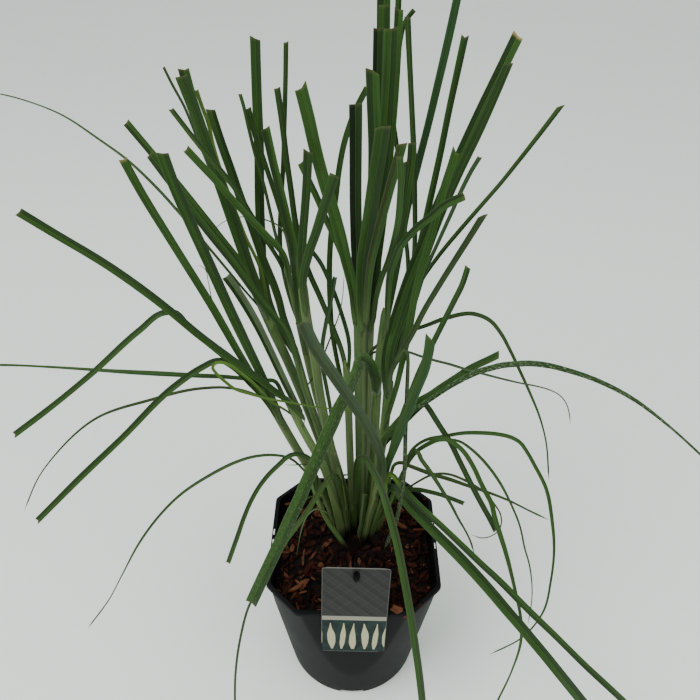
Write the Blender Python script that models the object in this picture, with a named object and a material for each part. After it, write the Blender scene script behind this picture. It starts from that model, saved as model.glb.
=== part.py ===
"""Potted ornamental grass clump: the solids, one object for each piece.

Metres, +Z up. The floor is z = 0, the pot's axis is x = y = 0, and the front, where the label
hangs, faces -Y. Shoots and leaves are drawn as strokes in one picture plane: each point has a
place in the picture and how far behind the pot's axis it lies. Strokes that cross are slid
apart along the lines of sight, so the clump keeps its outline and no two pieces touch.
"""
import math

import bmesh
import bpy
import numpy as np
from mathutils import Vector

MM = 0.001
GAP = 0.0003                # left between pieces that rest on each other

# --- the pot
POT_WIDTH = 0.190           # across the flat sides of the rim
CORNER_CUT = 0.0342         # length that each cut corner takes from a side
POT_HEIGHT = 0.195
FOOT_RADIUS = 0.0785
SHOULDER_RADIUS = 0.108     # the body's cone, carried up to the lip
FLAT_TAPER = 0.035          # how fast the flat sides lean in, for their height
CORNER_TAPER = 0.120        # the same for the flats across the corners
WALL = 0.0018
LIP_PROUD = 0.003           # how far the lip stands out from the body
LIP_DEPTH = 0.005
EDGE_ROUND = 0.0008
FLOOR_RAISE = 0.0045        # the underside between the foot ring and the middle pad
FLOOR_THICKNESS = 0.0025
FOOT_RING_INNER = 0.060
PAD_RADIUS = 0.014
FLAT_STEPS = 3              # faces along a flat side
CORNER_STEPS = 2            # faces along a cut corner
DRAIN_RADIUS = 0.006
DRAIN_CIRCLE = 0.040
NOTCH_WIDTH = 0.0285        # drainage notch in the foot ring
NOTCH_HEIGHT = 0.006
NOTCH_DEPTH = 0.008
SLOT_LENGTH = 0.0118        # carry slots through the lip, on the left and right
SLOT_WIDTH = 0.0020
SLOT_BRIDGE = 0.0028
SLOT_COUNT = 3
SLOT_INSET = 0.0009         # the lip left outside the slots
SLOT_MIDDLES = {-1: -0.0025, 1: 0.0095}

# --- the mulch
MULCH_TOP = 0.172
MULCH_EDGE_DROP = 0.004
MULCH_BUMP = 0.0022
MULCH_CLEARANCE = 0.0008    # between the mulch and the pot's wall
CROWN = (0.003, 0.030)      # where the shoots stand, left level
CROWN_RADIUS = 0.046

# --- the label and its peg
LABEL_WIDTH = 0.0684
LABEL_THICKNESS = 0.0009
LABEL_TOP_PX = (356.7, 568.2)
LABEL_FOOT_PX = (352.6, 651.0)
LABEL_TOP_BACK = -92.0
LABEL_FOOT_BACK = -103.0
HOLE_RADIUS = 0.0034
HOLE_DROP = 0.0075          # hole's middle below the card's top edge
PEG_RADIUS = 0.0024
PEG_HEAD_RADIUS = 0.0042
PEG_SINK = 0.025

# --- the eye that the strokes are drawn for
PICTURE = 700.0
FOCAL_PX = 697.0
EYE = np.array((-0.0069, -0.510, 0.853))
PITCH = math.radians(37.0)
ROLL = math.radians(0.65)

# --- leaves and shoots
LEAF_THICKNESS = 0.0010
LEAF_FOLD = math.radians(20)
NARROW_THICKNESS = 0.0012
SHOOT_FLATNESS = 0.50       # a shoot's depth over its width
STEP_PX = 5.0               # spacing of the points that are slid apart
BEND_TOLERANCE = 0.0013     # how closely the faceted strokes follow their curves
NARROW_TOLERANCE = 0.0021
SLIDE_ROOM = 0.0020         # kept between strokes that cross
SLIDE_ROUNDS = 700
REACH_PX = 3.0              # how far a sample stands for its stroke along the stroke
STEEPEST = 0.004            # metres in depth for each pixel, where strokes are compared
ROOT_STEP = 0.0005          # between the depths of the leaves fused to one shoot
ROOT_EASE = 10              # samples over which a fused leaf leaves its shoot's depth
ROOT_RISE = 0.006           # the least height of a fused leaf's foot over the mulch

# name, width in mm at the foot and the top, [(x px, y px, mm behind the pot's axis)]
SHOOTS = [
    ("shoot_left_low", 9, 8.5, [
        (341, 538, 28), (328, 503, 20), (311, 472, 12), (295, 446, 6), (280, 420, 2),
        (268, 399, 0)]),
    ("shoot_left_front", 9, 7.5, [
        (344, 543, 18), (334, 500, 10), (323.5, 467, 3), (315.3, 452, -1), (307.3, 438, -4),
        (299.5, 423.6, -6), (292.8, 410, -8), (287.5, 399, -10)]),
    ("shoot_left_tall", 9, 9, [
        (346, 530, 44), (336, 490, 42), (323, 450, 40), (310, 415, 38), (298, 385, 37),
        (285, 355, 36), (272, 328, 36), (261, 303, 36), (248, 274, 38)]),
    ("shoot_left_middle", 8.5, 7, [
        (349, 525, 37), (338, 488, 34), (325, 448, 30), (315, 418, 26), (306, 390, 22),
        (298, 362, 20), (293, 345, 18)]),
    ("shoot_left_back", 8.5, 6.5, [(352, 519, 54), (343, 485, 54), (331, 445, 54),
                                   (319, 405, 54), (310, 370, 54), (302, 335, 52),
                                   (295, 303, 50), (286, 266, 46)]),
    ("shoot_half_left", 9.5, 9, [(349, 541, 22), (343, 505, 18), (335, 465, 14), (327, 430, 10),
                                 (320, 395, 6), (314, 355, 4), (307, 320, 2), (302.5, 285, 2)]),
    ("shoot_inner_left", 9, 7, [(354, 537, 28), (352, 495, 24), (350, 450, 22), (348.5, 410, 20),
                                (347, 385, 20), (346, 365, 20)]),
    ("shoot_middle", 11, 14, [(361, 530, 34), (361, 485, 30), (361, 440, 26), (361, 400, 24),
                              (361, 360, 22), (361, 330, 21), (361, 306, 20)]),
    ("shoot_back", 10, 10, [
        (364, 517, 56), (365, 480, 60), (366, 440, 63), (367, 400, 64), (368, 360, 64),
        (369, 330, 64), (370, 312, 64)]),
    ("shoot_inner_right", 9.5, 9, [(367, 527, 42), (370.5, 485, 38), (374, 445, 34),
                                   (376, 405, 30), (378.5, 370, 26), (382, 340, 24),
                                   (386, 312, 22)]),
    ("shoot_right", 10, 9.5, [(369, 535, 30), (374, 497, 24), (379.5, 460, 18), (384, 430, 12),
                              (387, 402, 8), (389, 378, 5)]),
    ("shoot_front_right", 7.5, 8, [(361, 546, 13), (364.7, 535, 9.5), (369.5, 514, 4),
                                   (375.5, 494, -1), (383, 470, -8)]),
    ("shoot_low_right", 7, 7, [(367, 545, 15), (370.5, 535, 12), (377.5, 514, 5),
                               (384, 497, -1), (388, 480, -6)]),
    ("shoot_small_right", 5, 5, [(376, 533, 20), (380, 523, 18), (386, 511, 15), (395, 490, 10),
                                 (404, 471, 4)]),
    ("shoot_small_left", 6, 5, [
        (349, 552, 2), (340, 539, 0), (330, 524.5, -2), (321, 508, -4), (314, 489, -6),
        (310, 473, -8)]),
]

# name, the shoot it grows on, width in mm, turn in degrees, [(x px, y px, mm behind the axis)]
LEAVES = [
    ("leaf_far_left", "shoot_left_front", 7.6, 12, [
        (303, 417, -15), (290, 404, -18), (283, 397.5, -18.5), (272, 389, -19), (260, 379.5, -20),
        (248, 371, -20), (233.5, 360.5, -20), (200, 336, -20), (165, 307, -20), (110, 267, -20),
        (50, 231, -20), (18.5, 212, -20)]),
    ("leaf_left_light", "shoot_left_low", 7.6, -8, [
        (279, 416, -7), (262, 390, -7), (243, 360, -6), (210, 303, 4), (175, 247, 15),
        (140, 190, 26), (123, 159, 30)]),
    ("leaf_left_upper", "shoot_left_tall", 6.8, 10, [
        (256, 292, 24), (240, 262, 28), (220, 237, 33), (200, 212, 39), (180, 187, 46),
        (149.3, 150, 55), (126, 122.5, 60)]),
    ("leaf_left_paired", "shoot_left_middle", 7.2, -6, [
        (298, 362, 13), (285, 331, 14), (262, 302, 15), (235, 265, 16), (207, 230, 18),
        (175, 188, 20), (149.5, 154, 24)]),
    ("leaf_left_crossing", "shoot_left_low", 9.8, 10, [
        (281, 420, -10), (265, 383, -12), (250, 352, -12), (230, 310, -10), (210, 266, -8),
        (190, 222, -6), (173, 183, -4), (162, 153, -2)]),
    ("leaf_left_grey", "shoot_left_front", 9.6, 30, [
        (300, 413, 0.5), (288.6, 390, 5.5), (277.5, 367, 7.5), (267, 345, 9.5), (257, 325, 10),
        (245, 304, 10), (234, 287, 9), (226, 276.5, 8)]),
    ("leaf_bundle_front", "shoot_left_tall", 11, 8, [
        (262, 305, 27), (251, 275, 33), (243, 252, 39), (234, 225, 47), (222, 190, 57),
        (208, 150, 67), (195, 112, 75), (181, 76, 80)]),
    ("leaf_bundle_back", "shoot_left_tall", 10, -8, [
        (266, 314, 31), (256, 282, 40), (250, 266, 46), (244.5, 250, 51), (241, 240, 54),
        (234.5, 220, 60), (227, 200, 66), (219.5, 180, 72), (212, 160, 78), (205.7, 140, 83),
        (198.7, 120, 88), (192, 100, 92), (186.5, 80, 95), (183.5, 69, 96)]),
    ("leaf_left_short", "shoot_left_back", 6.6, 14, [
        (291, 285, 38), (283, 254, 30), (265, 234, 29), (240, 208, 30), (215, 180, 30),
        (200, 164, 30), (186, 149, 30)]),
    ("leaf_behind_bundle", "shoot_left_middle", 9, -12, [
        (297, 358, 28), (290, 335, 43.5), (283, 316, 58), (279, 300, 68), (274, 285, 76),
        (268.5, 272, 82), (263.5, 260, 86), (256.5, 240, 91), (249.5, 220, 95), (244.5, 208, 97),
        (237.8, 190, 100), (231, 170, 104), (223.8, 150, 108), (217, 130, 112),
        (210.5, 109.5, 116)]),
    ("leaf_tall_left", "shoot_left_middle", 10, 6, [
        (294, 352, 30), (280, 328, 55), (269, 303, 75), (263, 272, 92), (261, 240, 102),
        (259.5, 200, 114), (259, 150, 128), (257, 100, 140), (255, 38, 152)]),
    ("leaf_inner_pale_edge", "shoot_left_back", 8.4, -10, [
        (300, 326, 44), (297, 285, 54), (294, 250, 66), (288, 222, 76), (281, 193, 84),
        (275, 170, 90), (265.5, 128, 96)]),
    ("leaf_broad_left", "shoot_middle", 11, 8, [
        (357, 322, 12), (352, 285, 14), (345, 256, 18), (340, 235, 20), (333, 210, 24),
        (325, 185, 28), (315, 148, 33), (308, 117, 37), (300.5, 87, 40)]),
    ("leaf_half_left_back", "shoot_half_left", 8.2, -14, [
        (305, 305, 10), (302, 272, 14), (303, 235, 20), (305, 210, 24), (307, 180, 28),
        (308, 151, 31)]),
    ("leaf_half_left_front", "shoot_half_left", 8.2, 12, [
        (306, 312, -6), (303, 282, -10), (309, 252, -14), (316, 232, -17), (322, 213, -20),
        (328, 195, -23), (334.5, 175, -26)]),
    ("leaf_drooping_left", "shoot_left_low", 6.8, 15, [
        (284, 427, -2), (275, 414, -3), (262, 396, -3), (250, 383.5, -3), (240, 373, -3),
        (230, 365, -3), (222, 360.8, -3), (215, 361.3, -3), (203, 367, -5), (175, 386, -13),
        (120, 440, -35), (80, 478, -50), (37, 521, -65)]),
    ("leaf_front_left", "shoot_inner_right", 12.6, 6, [
        (377, 392, 16.5), (374, 374, 3), (369, 362, -9), (362, 357.5, -16), (357, 371, -24.5),
        (353, 380, -30), (348.5, 390, -36), (343.5, 400, -41), (338, 410, -46), (334, 420, -51),
        (329.5, 430, -56), (325, 440, -61), (316.5, 460, -70.5), (307.5, 480, -79),
        (299, 500, -87), (289.5, 520, -93.5), (281, 540, -100), (271.5, 560, -106.5),
        (262, 580, -113), (251, 603.5, -120)]),
    ("leaf_front_inner", "shoot_half_left", 5.6, 15, [
        (344, 508, 8), (341.5, 492, 0), (338.5, 479, -11), (334, 475, -19), (328, 480, -26),
        (322, 488.5, -31), (316, 497.5, -35), (308, 510, -41), (296.5, 526, -50),
        (287, 539, -58), (271, 568, -72)]),
    ("leaf_top_highest", "shoot_back", 12, -5, [
        (370, 320, 76), (375, 270, 88), (378, 210, 98), (381, 150, 106), (383, 80, 114),
        (383.5, 30, 118), (384, -18, 120)]),
    ("leaf_top_dark", "shoot_back", 8, 10, [
        (367, 325, 50), (369, 285, 51), (372, 240, 54), (374, 180, 58), (376, 120, 62),
        (377, 75, 64), (378, 28, 66)]),
    ("leaf_top_broad", "shoot_back", 11.4, -12, [
        (369, 330, 45), (371, 290, 44), (374, 245, 43), (378, 210, 44), (382, 175, 45),
        (385, 140, 46), (388, 95, 47), (390, 60, 48), (391, 28, 50)]),
    ("leaf_top_right", "shoot_back", 7.6, 12, [
        (371, 325, 55), (377, 270, 60), (384, 210, 67), (390, 150, 73), (394, 100, 77),
        (397, 50, 80), (399, 9, 82)]),
    ("leaf_right_straight", "shoot_right", 6.6, 16, [
        (388, 385, 16), (397, 345, 37), (405, 305, 50), (413, 275, 60), (421, 240, 70),
        (430, 200, 78), (440, 155, 84), (450, 105, 88), (458, 68, 90), (465, 36, 92)]),
    ("leaf_right_bluish", "shoot_inner_right", 7.6, -14, [
        (386, 325, 34), (394, 285, 52), (401, 245, 70), (407, 210, 86), (418, 165, 100),
        (427, 130, 108), (437, 88, 114), (446, 50, 118), (457, 0, 122), (461, -20, 123)]),
    ("leaf_right_tallest", "shoot_right", 10, 8, [
        (387, 395, -1), (385, 365, 0), (389, 338, 4), (398, 308, 12), (408, 280, 20),
        (421, 248, 28), (437, 208, 36), (455, 167, 44), (480, 113, 52), (500, 72, 57),
        (518, 35, 60)]),
    ("leaf_right_lower_edge", "shoot_right", 7.4, -16, [
        (389, 390, -4), (393, 352, -2), (403, 318, 4), (415, 285, 10), (428, 250, 18),
        (441, 215, 24), (459, 173.5, 32), (481.5, 126.5, 38), (496.5, 92.5, 42), (509, 63, 45)]),
    ("leaf_right_low", "shoot_right", 5.6, 10, [
        (390, 390, -6), (391, 374, -9), (398.5, 358, -12), (406.5, 344, -12), (414.5, 329.5, -12),
        (422.5, 313.5, -12), (440.3, 283.4, -11), (455.3, 259.4, -11), (469.6, 237, -10),
        (483, 215.5, -10)]),
    ("leaf_bent_tip", "shoot_inner_right", 6.4, 12, [
        (387, 330, 12), (388, 295, 2), (391, 270, -8), (394.5, 260, -12), (398.5, 250, -16),
        (405.5, 240, -22), (412, 232.5, -28), (420, 225, -35), (430, 217.3, -43), (445, 205, -51),
        (464, 196, -60)]),
    ("leaf_right_short", "shoot_right", 6.8, -10, [
        (385, 425, 6), (392, 402, -2), (397, 385, -6), (401, 368, -8), (405, 350, -8),
        (409, 330, -7), (417, 285, -4), (430, 240, 0), (438, 210, 2), (445, 185, 4), (451, 167, 5),
        (456, 151, 6)]),
    ("leaf_olive", "shoot_middle", 7.8, 10, [
        (366, 322, 10), (368, 285, 4), (371, 262, -2), (378, 232, -8), (386, 202, -14),
        (392, 180, -18), (397, 163, -22), (402, 144, -25)]),
    ("leaf_soft_green", "shoot_inner_right", 7.6, -15, [
        (385, 335, 36), (390, 295, 34), (396, 260, 32), (401, 235, 30), (405, 207, 28),
        (408, 185, 26), (411, 163, 24), (412.5, 143, 22)]),
    ("leaf_middle_front", "shoot_middle", 12, 5, [
        (362, 330, 6), (362, 288, 2), (363, 262, 0), (367, 235, -3), (371, 208, -6),
        (375, 180, -8), (379, 155, -10), (383, 127, -12)]),
    ("leaf_middle_tall", "shoot_back", 10.6, -8, [
        (366, 328, 40), (367, 285, 34), (371, 240, 30), (373.5, 190, 26), (374.5, 145, 22),
        (373.5, 105, 18), (372.5, 71, 16)]),
    ("leaf_middle_left", "shoot_middle", 11, 10, [
        (359, 318, 34), (357.5, 285, 36), (356.5, 250, 36), (355.5, 200, 34), (355.5, 150, 32),
        (355.5, 104, 30)]),
    ("leaf_right_arching", "shoot_right", 6, 12, [
        (381, 452, 6), (385, 439, 0), (390, 434.5, -2.5), (400, 425.5, -6), (410, 413, -8),
        (420, 405.5, -8.5), (430, 399.5, -9), (440, 392.5, -10), (450, 386, -10.5),
        (460, 380.3, -11), (470, 375.3, -11), (480, 371, -12), (490, 368.3, -13),
        (500, 365.7, -13.5), (515, 364, -15.5), (530, 363.4, -17.5), (550, 365.8, -21),
        (570, 371, -25.5), (580, 374, -28), (630, 397, -42), (670, 427, -52), (700, 454, -60),
        (716, 469, -64)]),
    ("leaf_right_blunt", "shoot_right", 7.4, -8, [
        (384, 436, 2), (400, 419, 4.5), (410, 409, 6), (420, 400.5, 8), (430, 395, 9.5),
        (440, 388, 12), (450, 381.5, 13.5), (460, 375, 14.5), (470, 368.5, 16), (480, 363.6, 17.5),
        (490, 359, 19), (499, 354.5, 20)]),
    ("leaf_trailing_light", "shoot_low_right", 7.4, 18, [
        (386, 492, -14), (386, 478, -18), (389, 474, -21), (400, 484, -30), (410, 495.5, -38),
        (420, 506, -45), (440, 524.5, -60), (460, 543.5, -72), (480, 562.5, -84), (500, 581, -96),
        (527, 608.5, -111), (556, 636.5, -126), (585, 665, -138), (614, 692, -148),
        (632, 709, -154)]),
    ("leaf_trailing_broad", "shoot_low_right", 11.6, 6, [
        (384, 506, -6), (387, 489, -12), (393, 487.5, -15), (402, 497.5, -22), (410, 507, -28),
        (420, 517.5, -36), (430, 527.5, -44), (440, 537.5, -52), (460, 557.5, -68), (480, 579, -84),
        (494, 595, -93), (507, 610.5, -101), (520.5, 626, -109), (533, 641, -116),
        (546, 656.5, -123), (558.5, 672, -129), (571, 687.5, -134), (590, 711, -142)]),
    ("leaf_over_label", "shoot_inner_left", 8.2, 8, [
        (355, 505, 14), (355.5, 485, 3), (356.5, 467, -8), (360, 458, -15), (365, 458, -20),
        (370, 465, -27), (373.5, 471, -33), (378, 480, -41), (382, 490, -50), (385.3, 500, -58),
        (391, 520, -70), (396.4, 540, -82), (400.7, 560, -92), (404.5, 580, -101),
        (411.5, 620, -119), (416, 650, -132), (419.3, 674, -141), (422, 698, -149),
        (423.5, 714, -154)]),
    ("leaf_right_front", "shoot_front_right", 9.4, -10, [
        (383, 490, -12), (388, 463, -21), (393, 450, -24), (397, 440, -27), (400.7, 430, -31),
        (404.3, 420, -34), (409, 410, -36), (412.6, 400, -38), (416.5, 390, -40),
        (420.7, 380, -42), (424.6, 370, -43), (427, 360, -44), (429, 350, -45),
        (430.5, 339, -46)]),
    ("leaf_front_grey", "shoot_front_right", 10.6, 8, [
        (381, 488, -12), (382, 463, -24), (375, 440, -34), (366, 424, -42), (356, 408, -50),
        (345, 392, -58), (330, 370, -70), (315, 347, -82), (303, 323, -94)]),
]

# the same, for the narrow leaves: each is fused to its shoot
NARROW_LEAVES = [
    ("fine_left_arch", "shoot_left_tall", 2.8, 0, [
        (268, 320, 36), (240, 285, 32), (215, 255, 33), (183, 217, 36), (155, 186, 42),
        (125, 158, 50), (100, 140, 55), (60, 114, 60), (30, 102, 60), (0, 94, 58),
        (-14, 92, 56)]),
    ("fine_left_hook", "shoot_left_low", 1.6, 0, [
        (273, 406, 4), (245, 360, 12), (223, 322, 22), (213, 303, 24), (208, 280, 22),
        (205, 269, 20), (199, 265.5, 16), (192, 268, 12)]),
    ("fine_left_curl", "shoot_left_back", 1.6, 0, [
        (292, 290, 52), (289, 250, 70), (280, 227, 90), (266, 220, 112), (250, 217, 116),
        (230, 219, 100), (217, 227, 84), (209, 241, 72)]),
    ("narrow_left_folded", "shoot_left_front", 6.2, 20, [
        (290, 404, -10), (270, 391, -9.5), (225, 357, -7), (190, 328, -5), (173, 312, -6),
        (163, 313, -8), (140, 330, -14), (90, 375, -30), (50, 408, -42), (14, 435, -52)]),
    ("narrow_left_level", "shoot_left_front", 5.6, 30, [
        (290, 409, 0), (286, 401, 2), (282, 393, 3), (278, 385, 4), (275, 381, 4), (265, 380.5, 4),
        (240, 378, 4), (220, 376.4, 3), (205, 375.9, 2), (130, 372, -4), (50, 367, -12),
        (0, 365, -18), (-14, 365, -20)]),
    ("narrow_left_low_arch", "shoot_left_low", 3.2, 0, [
        (276, 411, 6), (262, 398, 9), (245, 391, 10), (230, 388, 8), (200, 388.5, 2),
        (150, 400, -8), (95, 419, -20), (55, 455, -35), (40, 475, -42), (24, 511, -55)]),
    ("fine_yellow_loop", "shoot_left_front", 3.0, 0, [
        (291, 414, -9), (282, 408, -16), (271, 402, -22), (262, 392, -26), (250, 380, -29),
        (240, 372.5, -30), (230, 365.5, -31), (222, 362.5, -31), (215, 363.5, -31),
        (212.5, 367.5, -31), (216, 373, -31), (225, 381.5, -30), (235, 389, -29), (250, 394, -28),
        (270, 399, -27), (290, 402.5, -25), (310, 406, -23), (332, 409, -22), (352, 411, -20),
        (367, 412, -18)]),
    ("narrow_bundle_grey", "shoot_left_tall", 2.6, 0, [
        (255, 290, 40), (240, 246, 70), (222, 200, 90), (208, 165, 102), (197, 138, 108),
        (184, 106, 110), (172, 84, 111), (163.5, 67, 112)]),
    ("narrow_bundle_yellow", "shoot_left_tall", 3.6, 0, [
        (269, 312, 37), (266, 293, 46), (263.5, 280, 53), (259, 265, 60), (253, 252, 66),
        (246, 238, 72), (239, 220, 80), (232, 202, 87), (225, 183, 92), (219, 165, 96),
        (214.5, 150, 99), (212, 140, 101), (210, 130, 102), (207.2, 120, 103), (203.3, 110, 104),
        (196.5, 90, 105)]),
    ("narrow_left_light", "shoot_left_back", 5, 20, [
        (297, 312, 50), (281, 264, 46), (265, 238, 43), (250, 213, 42), (236, 190, 43),
        (222, 172, 44), (200, 146, 45), (185, 127, 46), (171, 109, 46)]),
    ("narrow_centre_left", "shoot_left_back", 3.4, 10, [
        (294, 300, 48), (286, 265, 72), (277, 240, 86), (271, 215, 96), (264, 185, 102),
        (256, 158, 106), (249, 130, 108), (243, 104, 109), (240, 94, 110)]),
    ("narrow_centre_left_wide", "shoot_left_back", 5.4, -20, [
        (301, 330, 50), (295, 280, 80), (288, 240, 98), (279, 207, 106), (271, 182, 110),
        (263, 158, 112), (256, 138, 114), (248.5, 108, 116)]),
    ("narrow_upright_left", "shoot_left_back", 4.8, 0, [
        (301, 330, 53), (292, 305, 70), (284, 275, 92), (280, 240, 110), (280, 225, 116),
        (283, 170, 130), (284.5, 120, 142), (285.5, 80, 150), (286, 42, 156)]),
    ("narrow_inner_left", "shoot_inner_left", 6.4, 15, [
        (347, 380, 20), (342, 352, 34), (333, 328, 48), (320, 297, 66), (308, 270, 80),
        (300, 245, 92), (295, 220, 102), (291, 190, 112), (286, 155, 122), (282, 122, 130),
        (277, 88, 138)]),
    ("narrow_dark_upright", "shoot_inner_left", 5.8, 0, [
        (348, 402, 22), (341, 378, 40), (336, 355, 50), (332, 330, 56), (330, 300, 62),
        (330, 250, 72), (332, 225, 78), (336, 195, 84), (339, 170, 90), (345, 140, 98),
        (358, 105, 108), (367, 88, 112)]),
    ("narrow_grey_stub", "shoot_half_left", 4.4, 0, [
        (330, 445, 12), (331, 415, 18), (327, 390, 22), (323, 368, 25), (322.5, 345, 27),
        (326, 323, 30), (331, 300, 34), (335, 277, 38)]),
    ("narrow_dark_left", "shoot_middle", 6.2, -10, [
        (357, 330, 24), (350, 283, 27), (344, 260, 35), (335, 238, 44), (325, 217, 54),
        (318, 200, 60), (310, 183, 64), (300.5, 163, 68)]),
    ("narrow_thin_green", "shoot_inner_left", 4.4, 0, [
        (348, 375, 22), (349, 343, 32), (341, 312, 38), (334, 292, 42), (328, 278, 44),
        (320, 262, 44), (311, 250, 40)]),
    ("fine_dark_diagonal", "shoot_left_middle", 1.8, 0, [
        (309, 402, 24), (305, 392, 25), (314, 376, 29), (326, 349, 33), (333, 331, 34),
        (339, 315, 34), (343, 293, 34), (344, 273, 34)]),
    ("narrow_second_top", "shoot_back", 9, 0, [
        (372, 318, 64), (376, 260, 72), (380, 180, 82), (382.5, 100, 90), (383.5, 50, 94),
        (384, 5, 96)]),
    ("narrow_top_dark", "shoot_back", 5.4, 0, [
        (371, 316, 64), (379, 260, 76), (388, 180, 88), (394, 100, 97), (397, 40, 102),
        (399, -16, 104)]),
    ("narrow_top_hooked", "shoot_back", 4.4, 20, [
        (372, 322, 64), (381, 245, 74), (388, 165, 84), (393, 110, 90), (398, 65, 93),
        (401, 38, 93), (405, 22, 91), (414, 10, 87)]),
    ("narrow_pale_upright", "shoot_middle", 5.4, 15, [
        (370, 328, 20), (376, 300, 8), (381, 280, 0), (388.3, 260, -10), (394, 240, -18),
        (398, 221, -24), (400, 200, -28), (401, 178, -32), (400, 157, -35)]),
    ("narrow_yellow_upright", "shoot_inner_right", 4, 0, [
        (385, 320, 22), (390, 282, 12), (395, 252, 2), (400, 222, -6), (403, 195, -12),
        (405, 178, -16), (406, 162, -20)]),
    ("narrow_dark_crossing", "shoot_right", 4.2, 0, [
        (389, 384, 8), (394, 345, 18), (402, 315, 24), (407, 292, 31), (408, 262, 42),
        (406, 240, 50), (404, 220, 58), (401, 178, 70), (397, 147, 78), (393, 120, 82),
        (389, 93, 86)]),
    ("narrow_right_upright", "shoot_right", 5.2, 20, [
        (388, 388, 8), (401, 345, 30), (410, 305, 35), (414, 262, 41), (415, 230, 44),
        (414.5, 190, 44), (413.5, 145, 42), (411.5, 100, 41), (409, 50, 40), (407.5, 17, 40)]),
    ("narrow_right_grey", "shoot_right", 4.2, 25, [
        (389, 384, 6), (404, 340, 10), (415, 303, 14), (425, 272, 18), (436, 247, 24),
        (450, 216, 34), (463, 187, 44), (473, 168, 48), (480, 157, 50)]),
    ("narrow_right_far", "shoot_right", 4.2, 15, [
        (388, 381, 10), (402, 325, 38), (423, 278, 45), (440, 254, 47), (460, 230, 45),
        (480, 207, 43), (500, 184, 41), (520, 159, 39), (545, 127, 37), (561, 106, 36)]),
    ("narrow_right_behind", "shoot_front_right", 5.6, 10, [
        (383, 474, -6), (396, 432, -6), (408, 400, -8), (420, 370, -10), (433, 343, -10),
        (445, 319, -6), (453, 303, 0), (462, 285, 8), (468, 267, 14)]),
    ("narrow_right_high_arch", "shoot_inner_right", 4.4, 10, [
        (378, 376, 30), (371, 360, 44), (370, 353, 50), (375, 347.5, 52), (380, 343, 52),
        (390, 337.5, 50), (397, 334.5, 50), (408, 331, 48), (420, 327.5, 46), (430, 324, 44),
        (440, 320, 42), (450, 317, 39), (460, 314.5, 36), (470, 313.5, 33), (480, 315.5, 29),
        (490, 320.5, 24), (500, 332, 17), (510, 350, 10), (520, 371, 4), (530, 393, -1),
        (540, 418, -8), (545.5, 439, -14), (549, 480, -24)]),
    ("fine_right_arch", "shoot_middle", 2.8, 0, [
        (365, 372, 26), (370, 355, 32), (380, 350.5, 31), (390, 349.7, 29), (400, 350.5, 27),
        (410, 352.5, 26), (420, 356, 25), (435, 360.5, 22), (450, 364.3, 19), (465, 369, 15),
        (480, 373, 10), (500, 378.3, 0), (520, 383, -9), (540, 387, -14), (550, 390, -16),
        (560, 395.5, -18), (566, 403, -20), (569, 412, -22), (570.3, 425.5, -24)]),
    ("narrow_right_bow", "shoot_small_right", 4.8, 25, [
        (402, 477, 6), (407, 460, 2), (412, 450, 0.5), (420, 443, -0.5), (430, 438.5, -2),
        (440, 436.8, -2.5), (450, 435, -3), (460, 433.3, -3), (480, 432.8, -4.5),
        (500, 434.6, -6.5), (510, 437, -8.5), (520, 442.5, -11.5), (527, 452, -14.5),
        (535, 466, -18.5), (546, 488, -25), (552, 520, -34), (554, 550, -44), (551, 580, -54),
        (544, 610, -62), (525, 635, -70), (489, 655, -76)]),
    ("narrow_right_droop", "shoot_small_right", 6, 25, [
        (401, 480, 4), (408, 463, -3.5), (417, 451, -8.5), (428, 444, -11.5), (437, 440, -13.5),
        (447, 439.5, -15), (455, 444, -18), (463, 451, -22.5), (470, 461, -28), (475, 470, -32),
        (480, 481, -38), (485, 491, -42.5), (491, 502, -48), (495, 518, -54), (500, 534, -60),
        (505, 550, -66), (508, 561, -70), (515, 590, -80), (521, 620, -91), (521, 640, -98),
        (512, 670, -106), (498, 700, -112), (491, 714, -114)]),
    ("narrow_right_thin_droop", "shoot_small_right", 3.4, 20, [
        (403, 474, 3), (409, 462, 5.5), (417, 451, 7.5), (428, 443, 8), (440, 440, 8),
        (450, 439.5, 7.5), (460, 441.5, 6), (470, 448, 3), (480, 457, -0.5), (490, 468.5, -5.5),
        (500, 483, -11.5), (510, 502, -19.5), (520, 526.5, -30), (525, 549, -38.5),
        (529, 563, -43.5), (532, 595, -52), (528, 625, -60)]),
    ("narrow_right_straight_fall", "shoot_right", 6, 0, [
        (383, 447, 10), (395, 433, 14), (408, 419, 14), (418, 409, 11), (425, 404, 3),
        (429, 409, -2), (436, 420, -6), (443, 431, -10), (449, 440, -14), (459, 460, -23),
        (469, 480, -34), (480, 501, -45.5), (491, 521, -56), (496, 531, -58)]),
    ("narrow_right_tent", "shoot_small_right", 4.8, 10, [
        (401, 484, 2), (406, 462, -13), (412, 452.5, -18.5), (416, 450.5, -21), (421, 459, -23),
        (429, 470, -26), (436, 480.5, -28.5), (442.5, 490.8, -31), (449, 501, -33.5),
        (459.6, 520.8, -38.5), (465.5, 530.8, -41), (470.2, 540.6, -44), (474.4, 554, -46)]),
    ("narrow_right_low_line", "shoot_low_right", 4.8, 15, [
        (387, 489, 2), (391, 474, 10), (395, 464, 13.5), (400, 462.5, 14), (410, 466, 11.5),
        (430, 473.5, 8), (450, 479.5, 4), (470, 486.5, -0.5), (490, 493, -5.5), (510, 501, -11),
        (530, 511, -16), (549, 520, -20)]),
    ("narrow_right_low_blunt", "shoot_small_right", 5.4, 20, [
        (396, 498, 12), (405, 491, 9.5), (415, 489.5, 7), (430, 492, 2), (440, 494.5, -2),
        (450, 498, -7), (464, 503.5, -14)]),
    ("fine_right_curl", "shoot_small_right", 2.8, 0, [
        (399, 492, 7.5), (410, 486.5, -1), (420, 480.5, -4), (430, 475.5, -5), (440, 473.5, -5.5),
        (450, 474.5, -8), (460, 478, -11), (470, 483, -14), (480, 489, -17), (488, 496, -20),
        (495, 505, -22.5), (500, 513, -26), (501.5, 521, -29.5), (499, 530, -34),
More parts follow.
